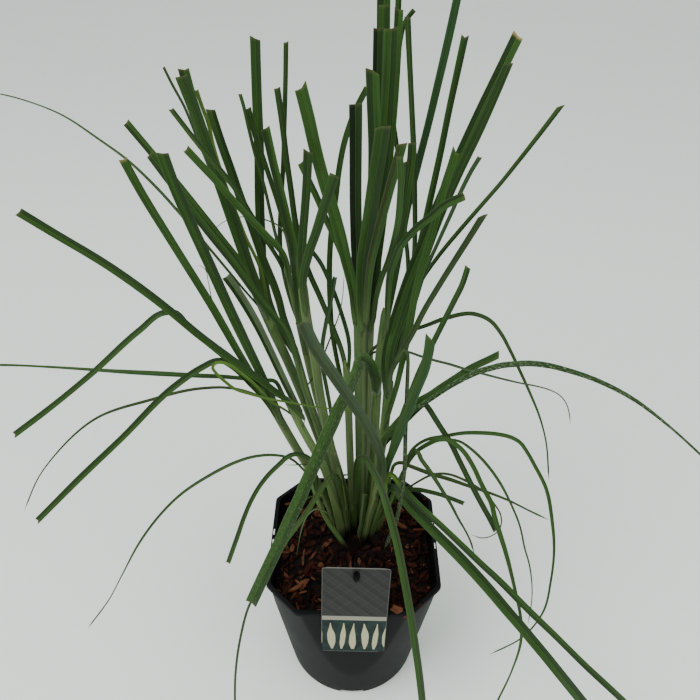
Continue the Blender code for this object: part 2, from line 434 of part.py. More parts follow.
        (490, 536.5, -39), (482, 538, -42.5), (471, 534.5, -45.5)]),
    ("narrow_hanging_grey", "leaf_right_low", 4.4, 0, [
        (401.5, 353, -11), (404.3, 349.5, -10.5), (406.7, 351.5, -11), (407.7, 357, -13),
        (407.7, 372, -17), (407, 390, -20), (406, 420, -21), (405.3, 440, -26), (405.2, 450, -30),
        (403.5, 480, -38), (400.5, 500, -44), (397, 518, -48), (391, 534, -50),
        (384.5, 549, -50)]),
    ("narrow_left_thin_arch", "shoot_small_left", 3.6, 20, [
        (315, 484, -6), (309, 477, -12), (305, 471.5, -14), (300, 466, -15.5), (295, 461.5, -16.5),
        (288, 457.5, -17.5), (280, 455.7, -18), (270, 455, -18.5), (260, 455.7, -19.5),
        (250, 457.5, -20.5), (235, 462.5, -24), (220, 469.5, -29), (210, 475, -32),
        (180, 495, -42), (155, 521, -50), (138, 545, -58), (122, 575, -66), (110, 598, -72),
        (88, 628, -78)]),
    ("narrow_left_arch", "shoot_small_left", 5.2, 15, [
        (317, 487, -8), (314, 468, -16.5), (310, 459, -20.5), (305, 456, -22.5), (298, 454, -25),
        (291, 455, -27.5), (285, 458.7, -29.5), (280, 463.5, -32), (270, 473, -37),
        (261, 484, -42), (252, 499, -48), (245, 515, -54), (238, 535, -60), (228, 563, -68)]),
    ("fine_left_level", "shoot_small_left", 1.6, 0, [
        (314, 476, -9), (311, 466, -8.5), (305, 464.3, -9), (295, 465, -11), (281, 464.5, -16)]),
    ("fine_pale_curl", "shoot_small_left", 2.2, 0, [
        (331, 516, -5), (324, 511, -10), (316, 509, -14), (308, 514, -19), (303, 524, -24),
        (299, 541, -32), (296, 558, -36)]),
    ("thin_behind_front_left", "shoot_small_left", 2.8, 0, [
        (322, 498, -7), (310, 497, -20), (298, 512, -40), (283, 542, -62), (268, 568, -78),
        (256, 592, -92), (249, 606, -96), (241, 635, -104), (236, 668, -112),
        (235, 700, -117), (235.5, 711, -119)]),
    ("stub_shoot", "shoot_front_right", 5.4, 0, [
        (359.5, 536, 5), (361, 526, 3), (362.7, 513, 0), (365, 494.5, -4)]),
]
NATURAL_TIPS = ("fine_", "narrow_right_bow", "narrow_right_d", "narrow_right_high",
                "narrow_right_low_line", "narrow_left_thin", "narrow_left_low",
                "narrow_right_thin", "narrow_right_tent", "narrow_left_level",
                "leaf_right_arching")

COLOURS = {
    "pot": ((0.020, 0.024, 0.026), 0.55),
    "bark_mulch": ((0.075, 0.030, 0.015), 0.9),
    "label": ((0.060, 0.062, 0.060), 0.35),
    "label_peg": ((0.006, 0.006, 0.006), 0.4),
    "shoot": ((0.110, 0.150, 0.050), 0.55),
    "leaf": ((0.045, 0.110, 0.025), 0.45),
}


def clear_scene():
    for old in list(bpy.data.objects):
        bpy.data.objects.remove(old, do_unlink=True)


def material_for(name):
    """One material for each kind of piece, with its own colour and roughness."""
    kind = name if name in COLOURS else name.split("_")[0]
    found = bpy.data.materials.get(kind)
    if found:
        return found
    made = bpy.data.materials.new(kind)
    made.use_nodes = True
    colour, roughness = COLOURS[kind]
    shader = made.node_tree.nodes["Principled BSDF"]
    shader.inputs["Base Color"].default_value = (*colour, 1.0)
    shader.inputs["Roughness"].default_value = roughness
    shader.inputs["Metallic"].default_value = 0.0
    return made


def solid(name, rings, first_cap, last_cap, smooth=40, cutter=False):
    """A closed tube through rings of equal length, with the given faces at its two ends.

    Each side face is split from its lower left to its upper right corner, whichever way the
    rings run, so that a plug and the bowl around it have the same facets.
    """
    mesh = bmesh.new()
    count = len(rings[0])
    loops = [[mesh.verts.new(corner) for corner in ring] for ring in rings]
    for lower, upper in zip(loops, loops[1:]):
        rising = upper[0].co.z > lower[0].co.z
        for i in range(count):
            j = (i + 1) % count
            if rising:
                mesh.faces.new((lower[i], lower[j], upper[j]))
                mesh.faces.new((lower[i], upper[j], upper[i]))
            else:
                mesh.faces.new((lower[i], lower[j], upper[i]))
                mesh.faces.new((lower[j], upper[j], upper[i]))
    for face in first_cap:
        mesh.faces.new([loops[0][i] for i in face])
    for face in last_cap:
        mesh.faces.new([loops[-1][i] for i in face])
    bmesh.ops.recalc_face_normals(mesh, faces=mesh.faces)
    data = bpy.data.meshes.new(name)
    mesh.to_mesh(data)
    mesh.free()
    made = bpy.data.objects.new(name, data)
    bpy.context.scene.collection.objects.link(made)
    if cutter:
        made.hide_render = True
        made.display_type = "WIRE"
        return made
    data.shade_smooth()
    data.set_sharp_from_angle(angle=math.radians(smooth))
    data.materials.append(material_for(name))
    return made


def cut(target, cutter):
    modifier = target.modifiers.new("cut", "BOOLEAN")
    modifier.operation = "DIFFERENCE"
    modifier.object = cutter


def join(target, extra):
    modifier = target.modifiers.new("join", "BOOLEAN")
    modifier.operation = "UNION"
    modifier.object = extra


def box_cutter(name, low, high):
    corners = ((low[0], low[1]), (high[0], low[1]), (high[0], high[1]), (low[0], high[1]))
    rings = [[Vector((x, y, z)) for x, y in corners] for z in (low[2], high[2])]
    return solid(name, rings, [range(4)], [range(4)], cutter=True)


def rod(name, foot, head, radius, sides, cutter=False):
    """A round bar between two points."""
    foot = Vector(foot)
    head = Vector(head)
    along = (head - foot).normalized()
    across = along.orthogonal().normalized()
    up = along.cross(across)
    turns = [math.tau * i / sides for i in range(sides)]
    offsets = [across * math.cos(a) * radius + up * math.sin(a) * radius for a in turns]
    rings = [[end + offset for offset in offsets] for end in (foot, head)]
    return solid(name, rings, [range(sides)], [range(sides)], cutter=cutter)


# ---------------------------------------------------------------- the pot and its filling

def octagon(flat, corner):
    """Points around a square with cut corners, evenly spaced along each of its eight faces.

    The four sides lie at one distance from the axis, and the faces across the corners at
    another.
    """
    cut_ends = corner * math.sqrt(2) - flat
    corners = []
    for quarter in range(4):
        turn = quarter * math.pi / 2
        for x, y in ((flat, -cut_ends), (flat, cut_ends)):
            corners.append((x * math.cos(turn) - y * math.sin(turn),
                            x * math.sin(turn) + y * math.cos(turn)))
    points = []
    for i, start in enumerate(corners):
        end = corners[(i + 1) % len(corners)]
        steps = FLAT_STEPS if i % 2 == 0 else CORNER_STEPS
        for k in range(steps):
            points.append((start[0] + (end[0] - start[0]) * k / steps,
                           start[1] + (end[1] - start[1]) * k / steps))
    return points


def rim_ring(inset, z):
    """One level of the lip, so far inside its outline."""
    corner = (POT_WIDTH - CORNER_CUT) / math.sqrt(2)
    return [Vector((x, y, z)) for x, y in octagon(POT_WIDTH / 2 - inset, corner - inset)]


def circle(radius, z):
    ring = []
    for x, y in octagon(1.0, 1.16):
        reach = math.hypot(x, y)
        ring.append(Vector((x * radius / reach, y * radius / reach, z)))
    return ring


def cone_radius(z):
    return FOOT_RADIUS + (SHOULDER_RADIUS - FOOT_RADIUS) * z / (POT_HEIGHT - LIP_DEPTH)


def body_ring(z, inset=0.0):
    """One level of the body: a cone with eight flats that fade out on the way down."""
    drop = POT_HEIGHT - LIP_DEPTH - z
    flat = POT_WIDTH / 2 - LIP_PROUD - FLAT_TAPER * drop
    corner = (POT_WIDTH - CORNER_CUT) / math.sqrt(2) - LIP_PROUD - CORNER_TAPER * drop
    ring = []
    for x, y in octagon(flat - inset, corner - inset):
        share = min(1.0, (cone_radius(z) - inset) / math.hypot(x, y))
        ring.append(Vector((x * share, y * share, z)))
    return ring


WALL_LEVELS = (0.050, 0.090, 0.130, 0.168)
BOWL_LEVELS = (0.050, 0.110, 0.168)


def build_pot():
    lip_under = POT_HEIGHT - LIP_DEPTH
    inner_floor = FLOOR_RAISE + FLOOR_THICKNESS
    rings = [
        circle(PAD_RADIUS, 0.0),
        circle(PAD_RADIUS + 0.002, FLOOR_RAISE),
        circle(FOOT_RING_INNER - 0.002, FLOOR_RAISE),
        circle(FOOT_RING_INNER, 0.0),
        circle(FOOT_RADIUS - 0.0015, 0.0),
        circle(cone_radius(0.002), 0.002),
    ]
    rings += [body_ring(z) for z in WALL_LEVELS]
    rings += [
        body_ring(lip_under),
        rim_ring(0.0, lip_under),
        rim_ring(0.0, POT_HEIGHT - EDGE_ROUND),
        rim_ring(EDGE_ROUND, POT_HEIGHT),
        rim_ring(LIP_PROUD + WALL, POT_HEIGHT),
    ]
    rings += [body_ring(z, WALL) for z in reversed(BOWL_LEVELS)]
    rings.append(circle(cone_radius(inner_floor) - WALL, inner_floor))
    every = range(len(rings[0]))
    pot = solid("pot", rings, [every], [every], smooth=25)
    for side in SLOT_MIDDLES:
        cut_carry_slots(pot, side)
    for i in range(4):
        turn = math.pi / 2 * i
        middle = Vector((math.cos(turn), math.sin(turn), 0)) * DRAIN_CIRCLE
        cut(pot, rod(f"drain_{i}", middle - Vector((0, 0, 0.01)), middle + Vector((0, 0, 0.02)),
                     DRAIN_RADIUS, 8, cutter=True))
    for i, (x, y) in enumerate(((0, -1), (1, 0), (0, 1), (-1, 0))):
        middle = Vector((x, y, 0)) * FOOT_RADIUS
        half_x = NOTCH_WIDTH / 2 if x == 0 else NOTCH_DEPTH
        half_y = NOTCH_WIDTH / 2 if y == 0 else NOTCH_DEPTH
        cut(pot, box_cutter(f"notch_{i}", (middle.x - half_x, middle.y - half_y, -0.01),
                            (middle.x + half_x, middle.y + half_y, NOTCH_HEIGHT)))
    return pot


def cut_carry_slots(pot, side):
    """The row of slots through the lip, by which the pot is carried."""
    length = SLOT_COUNT * SLOT_LENGTH + (SLOT_COUNT - 1) * SLOT_BRIDGE
    middle = side * (POT_WIDTH / 2 - SLOT_INSET - SLOT_WIDTH / 2)
    for i in range(SLOT_COUNT):
        start = SLOT_MIDDLES[side] - length / 2 + i * (SLOT_LENGTH + SLOT_BRIDGE)
        cut(pot, box_cutter(f"slot_{side}_{i}",
                            (middle - SLOT_WIDTH / 2, start, POT_HEIGHT - LIP_DEPTH - 0.01),
                            (middle + SLOT_WIDTH / 2, start + SLOT_LENGTH, POT_HEIGHT + 0.01)))


def build_mulch(peg_foot, peg_head):
    """The soil and bark, a plug that fits inside the pot, lumpy except where the shoots stand."""
    inset = WALL + MULCH_CLEARANCE
    floor = FLOOR_RAISE + FLOOR_THICKNESS + GAP
    rings = [circle(cone_radius(floor) - inset, floor)]
    rings += [body_ring(z, inset) for z in BOWL_LEVELS]
    rim = rings[-1]
    for step, share in enumerate((0.93, 0.82, 0.68, 0.5, 0.3)):
        ring = []
        for i, corner in enumerate(rim):
            x = corner.x * share + CROWN[0] * (1 - share)
            y = corner.y * share + CROWN[1] * (1 - share)
            away = math.hypot(x - CROWN[0], y - CROWN[1]) / CROWN_RADIUS
            bump = MULCH_BUMP * (math.sin(2.3 * i + 1.7 * step) - 1) if away > 1 else 0.0
            drop = MULCH_EDGE_DROP * max(0.0, share - 0.8) if away > 1 else 0.0
            ring.append(Vector((x, y, MULCH_TOP + bump - drop)))
        rings.append(ring)
    every = range(len(rings[0]))
    mulch = solid("bark_mulch", rings, [every], [every])
    down = (peg_foot - peg_head).normalized()
    cut(mulch, rod("peg_pocket", peg_foot + down * GAP, peg_head, PEG_RADIUS + GAP, 10,
                   cutter=True))
    return mulch


# ---------------------------------------------------------------- sight lines and strokes

def view_axes():
    ahead = np.array((0.0, math.cos(PITCH), -math.sin(PITCH)))
    level = np.array((1.0, 0.0, 0.0))
    above = np.array((0.0, math.sin(PITCH), math.cos(PITCH)))
    right = level * math.cos(ROLL) + above * math.sin(ROLL)
    up = above * math.cos(ROLL) - level * math.sin(ROLL)
    return ahead, right, up


def sight_lines(spots):
    """Unit directions from the eye through places in the picture."""
    ahead, right, up = view_axes()
    across = (spots[:, 0] - PICTURE / 2) / FOCAL_PX
    down = (spots[:, 1] - PICTURE / 2) / FOCAL_PX
    lines = ahead + across[:, None] * right - down[:, None] * up
    return lines / np.linalg.norm(lines, axis=1)[:, None]


def place(x_px, y_px, back_mm):
    """The point seen at a place in the picture, so far behind the pot's axis."""
    line = sight_lines(np.array([(x_px, y_px)], float))[0]
    return Vector(EYE + line * (back_mm * MM - EYE[1]) / line[1])


def smooth_line(points, spacing):
    """A smooth curve through the points, sampled about evenly along the picture."""
    points = np.array(points, float)
    chords = np.linalg.norm(np.diff(points[:, :2], axis=0), axis=1)
    at = np.concatenate([[0.0], np.cumsum(chords)])
    slopes = np.gradient(points, at, axis=0)
    wanted = np.linspace(0.0, at[-1], max(3, round(at[-1] / spacing)) + 1)
    left = np.clip(np.searchsorted(at, wanted, side="right") - 1, 0, len(at) - 2)
    span = (at[left + 1] - at[left])[:, None]
    t = (wanted - at[left])[:, None] / span
    start, end = points[left], points[left + 1]
    leave, arrive = slopes[left] * span, slopes[left + 1] * span
    return ((2 * t**3 - 3 * t**2 + 1) * start + (t**3 - 2 * t**2 + t) * leave
            + (3 * t**2 - 2 * t**3) * end + (t**3 - t**2) * arrive)


class Stroke:
    """One shoot or leaf: a smooth line in the picture, and its distance along each sight."""

    def __init__(self, name, kind, grows_on, widths, turn, points):
        self.name = name
        self.kind = kind
        self.grows_on = grows_on
        self.turn = math.radians(turn)
        curve = smooth_line(points, STEP_PX)
        self.spots = curve[:, :2]
        self.lines = sight_lines(self.spots)
        self.far = (curve[:, 2] * MM - EYE[1]) / self.lines[:, 1]
        self.drawn = self.far
        share = np.linspace(0.0, 1.0, len(curve))
        self.width = self.width_along(share, widths) * MM
        self.half_px = self.width / 2 * FOCAL_PX / self.far
        across = self.width / 2
        if kind == "shoot":
            self.half_depth = across * SHOOT_FLATNESS
        elif kind == "leaf":
            fold = across * math.sin(LEAF_FOLD) / 2
            self.half_depth = (fold + across * abs(math.sin(self.turn))
                               + LEAF_THICKNESS / 2)
        else:
            self.half_depth = (across * abs(math.sin(self.turn))
                               + NARROW_THICKNESS / 2)
        moves = np.gradient(self.spots, axis=0)
        self.pace = np.linalg.norm(moves, axis=1)
        self.heading = moves / self.pace[:, None]

    def width_along(self, share, widths):
        if self.kind == "shoot":
            return widths[0] + (widths[1] - widths[0]) * share
        grown = widths * (0.74 + 0.26 * np.clip(share / 0.35, 0, 1))
        if self.name.startswith(NATURAL_TIPS):
            return grown * np.clip((1.02 - share) / 0.55, 0.30, 1.0) ** 0.7
        return grown

    def points(self):
        return EYE + self.lines * self.far[:, None]


def close_pairs(strokes):
    """Every two samples of different strokes that overlap in the picture."""
    starts = np.concatenate([[0], np.cumsum([len(s.spots) for s in strokes])])
    rows = []
    for i, one in enumerate(strokes):
        for j in range(i + 1, len(strokes)):
            other = strokes[j]
            away = np.linalg.norm(one.spots[:, None] - other.spots[None], axis=2)
            near = away < one.half_px[:, None] + other.half_px[None] + 1.0
            near[:one.root] = False
            near[:, :other.root] = False
            for fused, base, axis in ((one, other, 0), (other, one, 1)):
                if fused.grows_on == base.name and fused.kind == "narrow":
                    root = int(3 + base.half_px.max() * 2.2 / STEP_PX)
                    if axis == 0:
                        near[:root] = False
                    else:
                        near[:, :root] = False
            if one.kind == other.kind == "narrow" and one.grows_on == other.grows_on:
                near[:one.root + ROOT_EASE // 2] = False
                near[:, :other.root + ROOT_EASE // 2] = False
            a, b = np.nonzero(near)
            if not len(a):
                continue
            side = 1.0 if np.mean(one.drawn[a] - other.drawn[b]) > 0 else -1.0
            rows.append(np.stack([a + starts[i], b + starts[j], np.full(len(a), side)], 1))
    pairs = np.concatenate(rows)
    return starts, pairs[:, 0].astype(int), pairs[:, 1].astype(int), pairs[:, 2]


def rooted(points, shoot):
    """The points of a fused leaf, led on from a little lower down inside its shoot."""
    away = np.linalg.norm(shoot.spots - np.array(points[0][:2]), axis=1)
    clear = int(np.argmax(shoot.points()[:, 2] > MULCH_TOP + ROOT_RISE))
    k = max(clear, int(np.argmin(away)) - 2)
    back = (EYE[1] + shoot.lines[k, 1] * shoot.far[k]) / MM
    return [(*shoot.spots[k], back), *points]


def set_roots(strokes):
    """Note which samples of each fused leaf lie inside its shoot."""
    by_name = {s.name: s for s in strokes}
    used = {}
    for stroke in strokes:
        stroke.root = 0
        if stroke.kind != "narrow":
            continue
        base = by_name[stroke.grows_on]
        used[base.name] = used.get(base.name, 0) + 1
        side_step = ROOT_STEP * (used[base.name] % 4 - 1.5)
        away = np.linalg.norm(stroke.spots[:, None] - base.spots[None], axis=2)
        nearest = np.argmin(away, axis=1)
        limit = np.where(nearest < len(base.spots) - 1, 0.7, 0.35) * base.half_px.max()
        inside = away.min(axis=1) < limit
        stroke.root = max(1, int(np.argmin(inside)))
        stroke.root_in = nearest[:stroke.root]
        stroke.base = base
        stroke.side_step = side_step


def hold_root(stroke):
    """Lead a fused leaf back into its shoot, with an easy change past the shoot's edge."""
    inside = stroke.base.far[stroke.root_in] + stroke.side_step
    missing = inside[-1] - stroke.far[stroke.root - 1]
    fade = np.clip(1 - (np.arange(len(stroke.far)) - stroke.root) / ROOT_EASE, 0, 1)
    stroke.far = stroke.far + missing * fade * fade
    stroke.far[:stroke.root] = inside


def slide_apart(strokes):
    """Slide crossing strokes along their sight lines until each has room."""
    set_roots(strokes)
    starts, a, b, side = close_pairs(strokes)
    spots = np.concatenate([s.spots for s in strokes])
    half = np.concatenate([s.half_px for s in strokes])
    depth = np.concatenate([s.half_depth for s in strokes])
    heading = np.concatenate([s.heading for s in strokes])
    pace = np.concatenate([s.pace for s in strokes])
    far = np.concatenate([s.far for s in strokes])
    index = np.arange(len(far))
    first = np.isin(index, starts[:-1])
    last = np.isin(index, starts[1:] - 1)
    before = np.where(first, index, index - 1)
    after = np.where(last, index, index + 1)
    middle = spots[a] + (spots[b] - spots[a]) * (half[a] / (half[a] + half[b]))[:, None]
    reach_a = np.sum((middle - spots[a]) * heading[a], axis=1).clip(-REACH_PX, REACH_PX)
    reach_b = np.sum((middle - spots[b]) * heading[b], axis=1).clip(-REACH_PX, REACH_PX)
    need = depth[a] + depth[b] + SLIDE_ROOM
    for step in range(SLIDE_ROUNDS):
        slope = (far[after] - far[before]) / ((after - before) * pace)
        slope = np.clip(slope, -STEEPEST, STEEPEST)
        between = (far[a] + slope[a] * reach_a) - (far[b] + slope[b] * reach_b)
        short = np.clip(need - side * between, 0, None)
        if short.max() < 0.0002:
            break
        move = np.zeros(len(far))
        weight = np.full(len(far), 1e-9)
        np.add.at(move, a, side * short * short)
        np.add.at(move, b, -side * short * short)
        np.add.at(weight, a, short)
        np.add.at(weight, b, short)
        move = move / weight * 0.6
        for _ in range(5):
            move = 0.5 * move + 0.25 * (move[before] + move[after])
        far = far + move
    print("slid apart in", step + 1, "rounds, worst left", round(short.max() * 1000, 2), "mm")
    for i, stroke in enumerate(strokes):
        stroke.far = far[starts[i]:starts[i + 1]]
    for stroke in strokes:
        if stroke.kind == "narrow":
            hold_root(stroke)


def bends(points, tolerance):
    """Indices of the points that keep a line's shape to within the tolerance."""
    keep = {0, len(points) - 1}
    todo = [(0, len(points) - 1)]
    while todo:
        low, high = todo.pop()
        if high - low < 2:
            continue
        chord = points[high] - points[low]
        length = max(np.linalg.norm(chord), 1e-9)
        away = np.linalg.norm(np.cross(points[low:high + 1] - points[low], chord / length),
                              axis=1)
        worst = int(np.argmax(away)) + low
        if away[worst - low] > tolerance and low < worst < high:
            keep.add(worst)
            todo += [(low, worst), (worst, high)]
    return sorted(keep)


def cross_frames(stroke, points):
    """At each point, the way across the stroke and the way that its face looks."""
    along = np.gradient(points, axis=0)
    along /= np.linalg.norm(along, axis=1)[:, None]
    across = np.cross(along, stroke.lines)
    across /= np.linalg.norm(across, axis=1)[:, None]
    facing = np.cross(across, along)
    facing *= -np.sign(np.sum(facing * stroke.lines, axis=1))[:, None]
    cos, sin = math.cos(stroke.turn), math.sin(stroke.turn)
    return along, across * cos + facing * sin, facing * cos - across * sin


def keeled_section(width, thickness):
    """A folded leaf: (across, towards the viewer) corners, keel away from the viewer."""
    half = width / 2 * math.cos(LEAF_FOLD)
    lift = width / 2 * math.sin(LEAF_FOLD)
    low = -lift / 2 - thickness / 2
    return [(-half, low + lift), (0, low), (half, low + lift),
            (half, low + lift + thickness), (0, low + thickness),
            (-half, low + lift + thickness)]


def flat_section(width, thickness):
    return [(-width / 2, 0), (0, -thickness / 2), (width / 2, 0), (0, thickness / 2)]


def oval_section(width, depth):
    turns = [math.tau * i / 8 for i in range(8)]
    return [(math.cos(a) * width / 2, math.sin(a) * depth / 2) for a in turns]


def stroke_rings(stroke):
    points = stroke.points()
    tolerance = NARROW_TOLERANCE if stroke.kind == "narrow" else BEND_TOLERANCE
    _, across, facing = cross_frames(stroke, points)
    rings = []
    for i in bends(points, tolerance):
        width = stroke.width[i]
        if stroke.kind == "shoot":
            section = oval_section(width, width * SHOOT_FLATNESS)
        elif stroke.kind == "leaf":
            section = keeled_section(width, LEAF_THICKNESS)
        else:
            section = flat_section(width, NARROW_THICKNESS)
        rings.append([Vector(points[i] + across[i] * u + facing[i] * v) for u, v in section])
    return rings


def stand_on_mulch(rings):
    """Cut a shoot's foot level, just above the mulch."""
    level = MULCH_TOP + GAP
    while min(corner.z for corner in rings[1]) < level + 0.003:
        rings.pop(0)
    foot, above = rings[0], rings[1]
    for i, corner in enumerate(foot):
        along = above[i] - corner
        rings[0][i] = corner + along * ((level - corner.z) / along.z)


def build_clump():
    shoots = [Stroke(name, "shoot", "", (foot, top), 0, points)
              for name, foot, top, points in SHOOTS]
    leaves = [Stroke(name, "leaf", on, width, turn, points)
              for name, on, width, turn, points in LEAVES]
    by_name = {stroke.name: stroke for stroke in shoots + leaves}
    narrow = [Stroke(name, "narrow", on, width, turn, rooted(points, by_name[on]))
              for name, on, width, turn, points in NARROW_LEAVES]
    slide_apart(shoots + leaves + narrow)
    made = {}
    for shoot in shoots:
        rings = stroke_rings(shoot)
        stand_on_mulch(rings)
        made[shoot.name] = solid(shoot.name, rings, [range(8)], [range(8)], smooth=60)
    for leaf in leaves:
        caps = [(0, 1, 4, 5), (1, 2, 3, 4)]
        made[leaf.name] = solid(leaf.name, stroke_rings(leaf), caps, caps, smooth=25)
    for leaf in narrow:
        blade = solid(leaf.name, stroke_rings(leaf), [range(4)], [range(4)], cutter=True)
        join(made[leaf.grows_on], blade)
    return made


# ---------------------------------------------------------------- the label and its peg

def label_frame():
    top = place(*LABEL_TOP_PX, LABEL_TOP_BACK)
    foot = place(*LABEL_FOOT_PX, LABEL_FOOT_BACK)
    up = (top - foot).normalized()
    across = Vector((1, 0, 0))
    across = (across - up * across.dot(up)).normalized()
    return top, foot, up, across, across.cross(up)


def build_label():
    top, foot, up, across, front = label_frame()
    half = across * LABEL_WIDTH / 2
    thick = front * LABEL_THICKNESS / 2
    rings = [[foot - half + offset, foot + half + offset, top + half + offset,
              top - half + offset] for offset in (-thick, thick)]
    card = solid("label", rings, [range(4)], [range(4)])
    hole = top - up * HOLE_DROP
    cut(card, rod("label_hole", hole - front * 0.01, hole + front * 0.01, HOLE_RADIUS, 12,
                  cutter=True))
    return card


def build_peg():
    """A rod behind the card, with a drop-shaped head that comes through the hole."""
    top, _, up, _, front = label_frame()
    hole = top - up * HOLE_DROP
    behind = hole - front * (LABEL_THICKNESS / 2 + GAP + PEG_RADIUS)
    head_end = behind + up * (HOLE_DROP + 0.004)
    lean = Vector((0, -0.075, 1)).normalized()
    foot = behind - lean * ((behind.z - MULCH_TOP + PEG_SINK) / lean.z)
    peg = rod("label_peg", foot, head_end, PEG_RADIUS, 8)
    neck_end = hole + front * (LABEL_THICKNESS / 2 + GAP + 0.002)
    join(peg, rod("peg_neck", behind, neck_end, PEG_RADIUS * 0.9, 8, cutter=True))
    shape = ((0.0, 0.55), (0.25, 0.95), (0.5, 1.0), (0.75, 0.7), (1.0, 0.25))
    across = up.cross(front)
    rings = []
    for along, swell in shape:
        middle = neck_end + front * 0.0012 - up * (along * 0.012 - 0.004)
        rings.append([middle + across * math.cos(a) * PEG_HEAD_RADIUS * swell
                      + front * math.sin(a) * 0.0022 * swell
                      for a in [math.tau * i / 8 for i in range(8)]])
    join(peg, solid("peg_head", rings, [range(8)], [range(8)], cutter=True))
    return peg, foot, head_end


def main():
    clear_scene()
    build_pot()
    _, foot, head = build_peg()
    build_mulch(foot, head)
    build_label()
    build_clump()


main()
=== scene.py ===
# %% [markdown]
# # A potted ornamental grass clump
# A fan of sheathed shoots stands in a deep black nursery pot. Long keeled leaves arch out of
# the shoots, most of them trimmed, and a printed card hangs at the front on a black peg.
# Everything is in metres. The pot's axis is x = y = 0, the floor is z = 0, and the front
# faces -Y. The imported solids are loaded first: each visual piece below stands for one of them.

# %% Load the solids
import math
import bmesh
import bpy
import numpy as np
from mathutils import Matrix, Vector


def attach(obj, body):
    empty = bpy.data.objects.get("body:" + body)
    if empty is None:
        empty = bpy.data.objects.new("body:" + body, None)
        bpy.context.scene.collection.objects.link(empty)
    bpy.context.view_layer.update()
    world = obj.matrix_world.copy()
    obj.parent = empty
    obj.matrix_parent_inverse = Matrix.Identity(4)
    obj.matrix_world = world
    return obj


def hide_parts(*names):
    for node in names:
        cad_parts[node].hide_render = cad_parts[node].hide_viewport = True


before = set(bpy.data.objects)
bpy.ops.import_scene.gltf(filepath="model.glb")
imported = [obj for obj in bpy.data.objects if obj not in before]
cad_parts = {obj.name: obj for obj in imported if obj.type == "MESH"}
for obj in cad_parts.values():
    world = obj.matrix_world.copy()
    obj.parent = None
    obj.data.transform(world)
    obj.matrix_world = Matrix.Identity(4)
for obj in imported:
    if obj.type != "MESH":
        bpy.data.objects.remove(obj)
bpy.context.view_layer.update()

# %% [markdown]
# ## How the clump is drawn
# A clump could be grown by chance, but every leaf here has to lie on its solid. The solids were
# drawn as strokes in one picture plane: each point has a place in a 700 by 700 picture and a
# distance behind the pot's axis. A place in the picture is a line of sight from the eye, and the
# distance picks one point on it. So the same strokes are drawn here again.

# %% The eye and its lines of sight
MM = 0.001
PICTURE = 700.0             # pixels across and down
FOCAL_PX = 697.0
EYE = np.array((-0.0069, -0.510, 0.853))
PITCH = math.radians(37.0)  # how far the eye looks down
ROLL = math.radians(0.65)


def view_axes():
    """The ways ahead of the eye, to its right and up."""
    ahead = np.array((0.0, math.cos(PITCH), -math.sin(PITCH)))
    sideways = np.array((1.0, 0.0, 0.0))
    above = np.array((0.0, math.sin(PITCH), math.cos(PITCH)))
    right = sideways * math.cos(ROLL) + above * math.sin(ROLL)
    up = above * math.cos(ROLL) - sideways * math.sin(ROLL)
    return ahead, right, up


def sight_lines(spots):
    """Unit directions from the eye through places in the picture."""
    ahead, right, up = view_axes()
    across = (spots[:, 0] - PICTURE / 2) / FOCAL_PX
    down = (spots[:, 1] - PICTURE / 2) / FOCAL_PX
    lines = ahead + across[:, None] * right - down[:, None] * up
    return lines / np.linalg.norm(lines, axis=1)[:, None]


print("the eye looks along", view_axes()[0].round(3))

# %% [markdown]
# ## One stroke
# Each shoot and each leaf is a smooth line with a width. A curve object could hold it, but the
# strokes have to be compared sample by sample, so they are kept as rows of plain numbers.

# %% Smooth lines
STEP_PX = 5.0               # spacing of the samples in the picture


def smooth_rows(rows, at, wanted):
    """Rows of numbers, known at some places along a line, read at others."""
    slopes = np.gradient(rows, at, axis=0)
    left = np.clip(np.searchsorted(at, wanted, side="right") - 1, 0, len(at) - 2)
    span = (at[left + 1] - at[left])[:, None]
    t = (wanted - at[left])[:, None] / span
    start, end = rows[left], rows[left + 1]
    leave, arrive = slopes[left] * span, slopes[left + 1] * span
    return ((2 * t**3 - 3 * t**2 + 1) * start + (t**3 - 2 * t**2 + t) * leave
            + (3 * t**2 - 2 * t**3) * end + (t**3 - t**2) * arrive)


def lengths_along(points):
    """How far along a line each of its points is."""
    steps = np.linalg.norm(np.diff(points, axis=0), axis=1)
    return np.concatenate([[0.0], np.cumsum(steps)])


def smooth_line(points):
    """A smooth curve through the points, sampled about evenly along the picture."""
    points = np.array(points, float)
    at = lengths_along(points[:, :2])
    wanted = np.linspace(0.0, at[-1], max(3, round(at[-1] / STEP_PX)) + 1)
    return smooth_rows(points, at, wanted)


print("a bend of three points has", len(smooth_line([(0, 0), (30, 5), (50, 30)])), "samples")


# %% A stroke
LEAF_THICKNESS = 0.0010
LEAF_FOLD = math.radians(20)
NARROW_THICKNESS = 0.0012
SHOOT_FLATNESS = 0.50       # a shoot's depth over its width
FULL_WIDTH_AT = 0.35        # share of a leaf's length where it has its full width


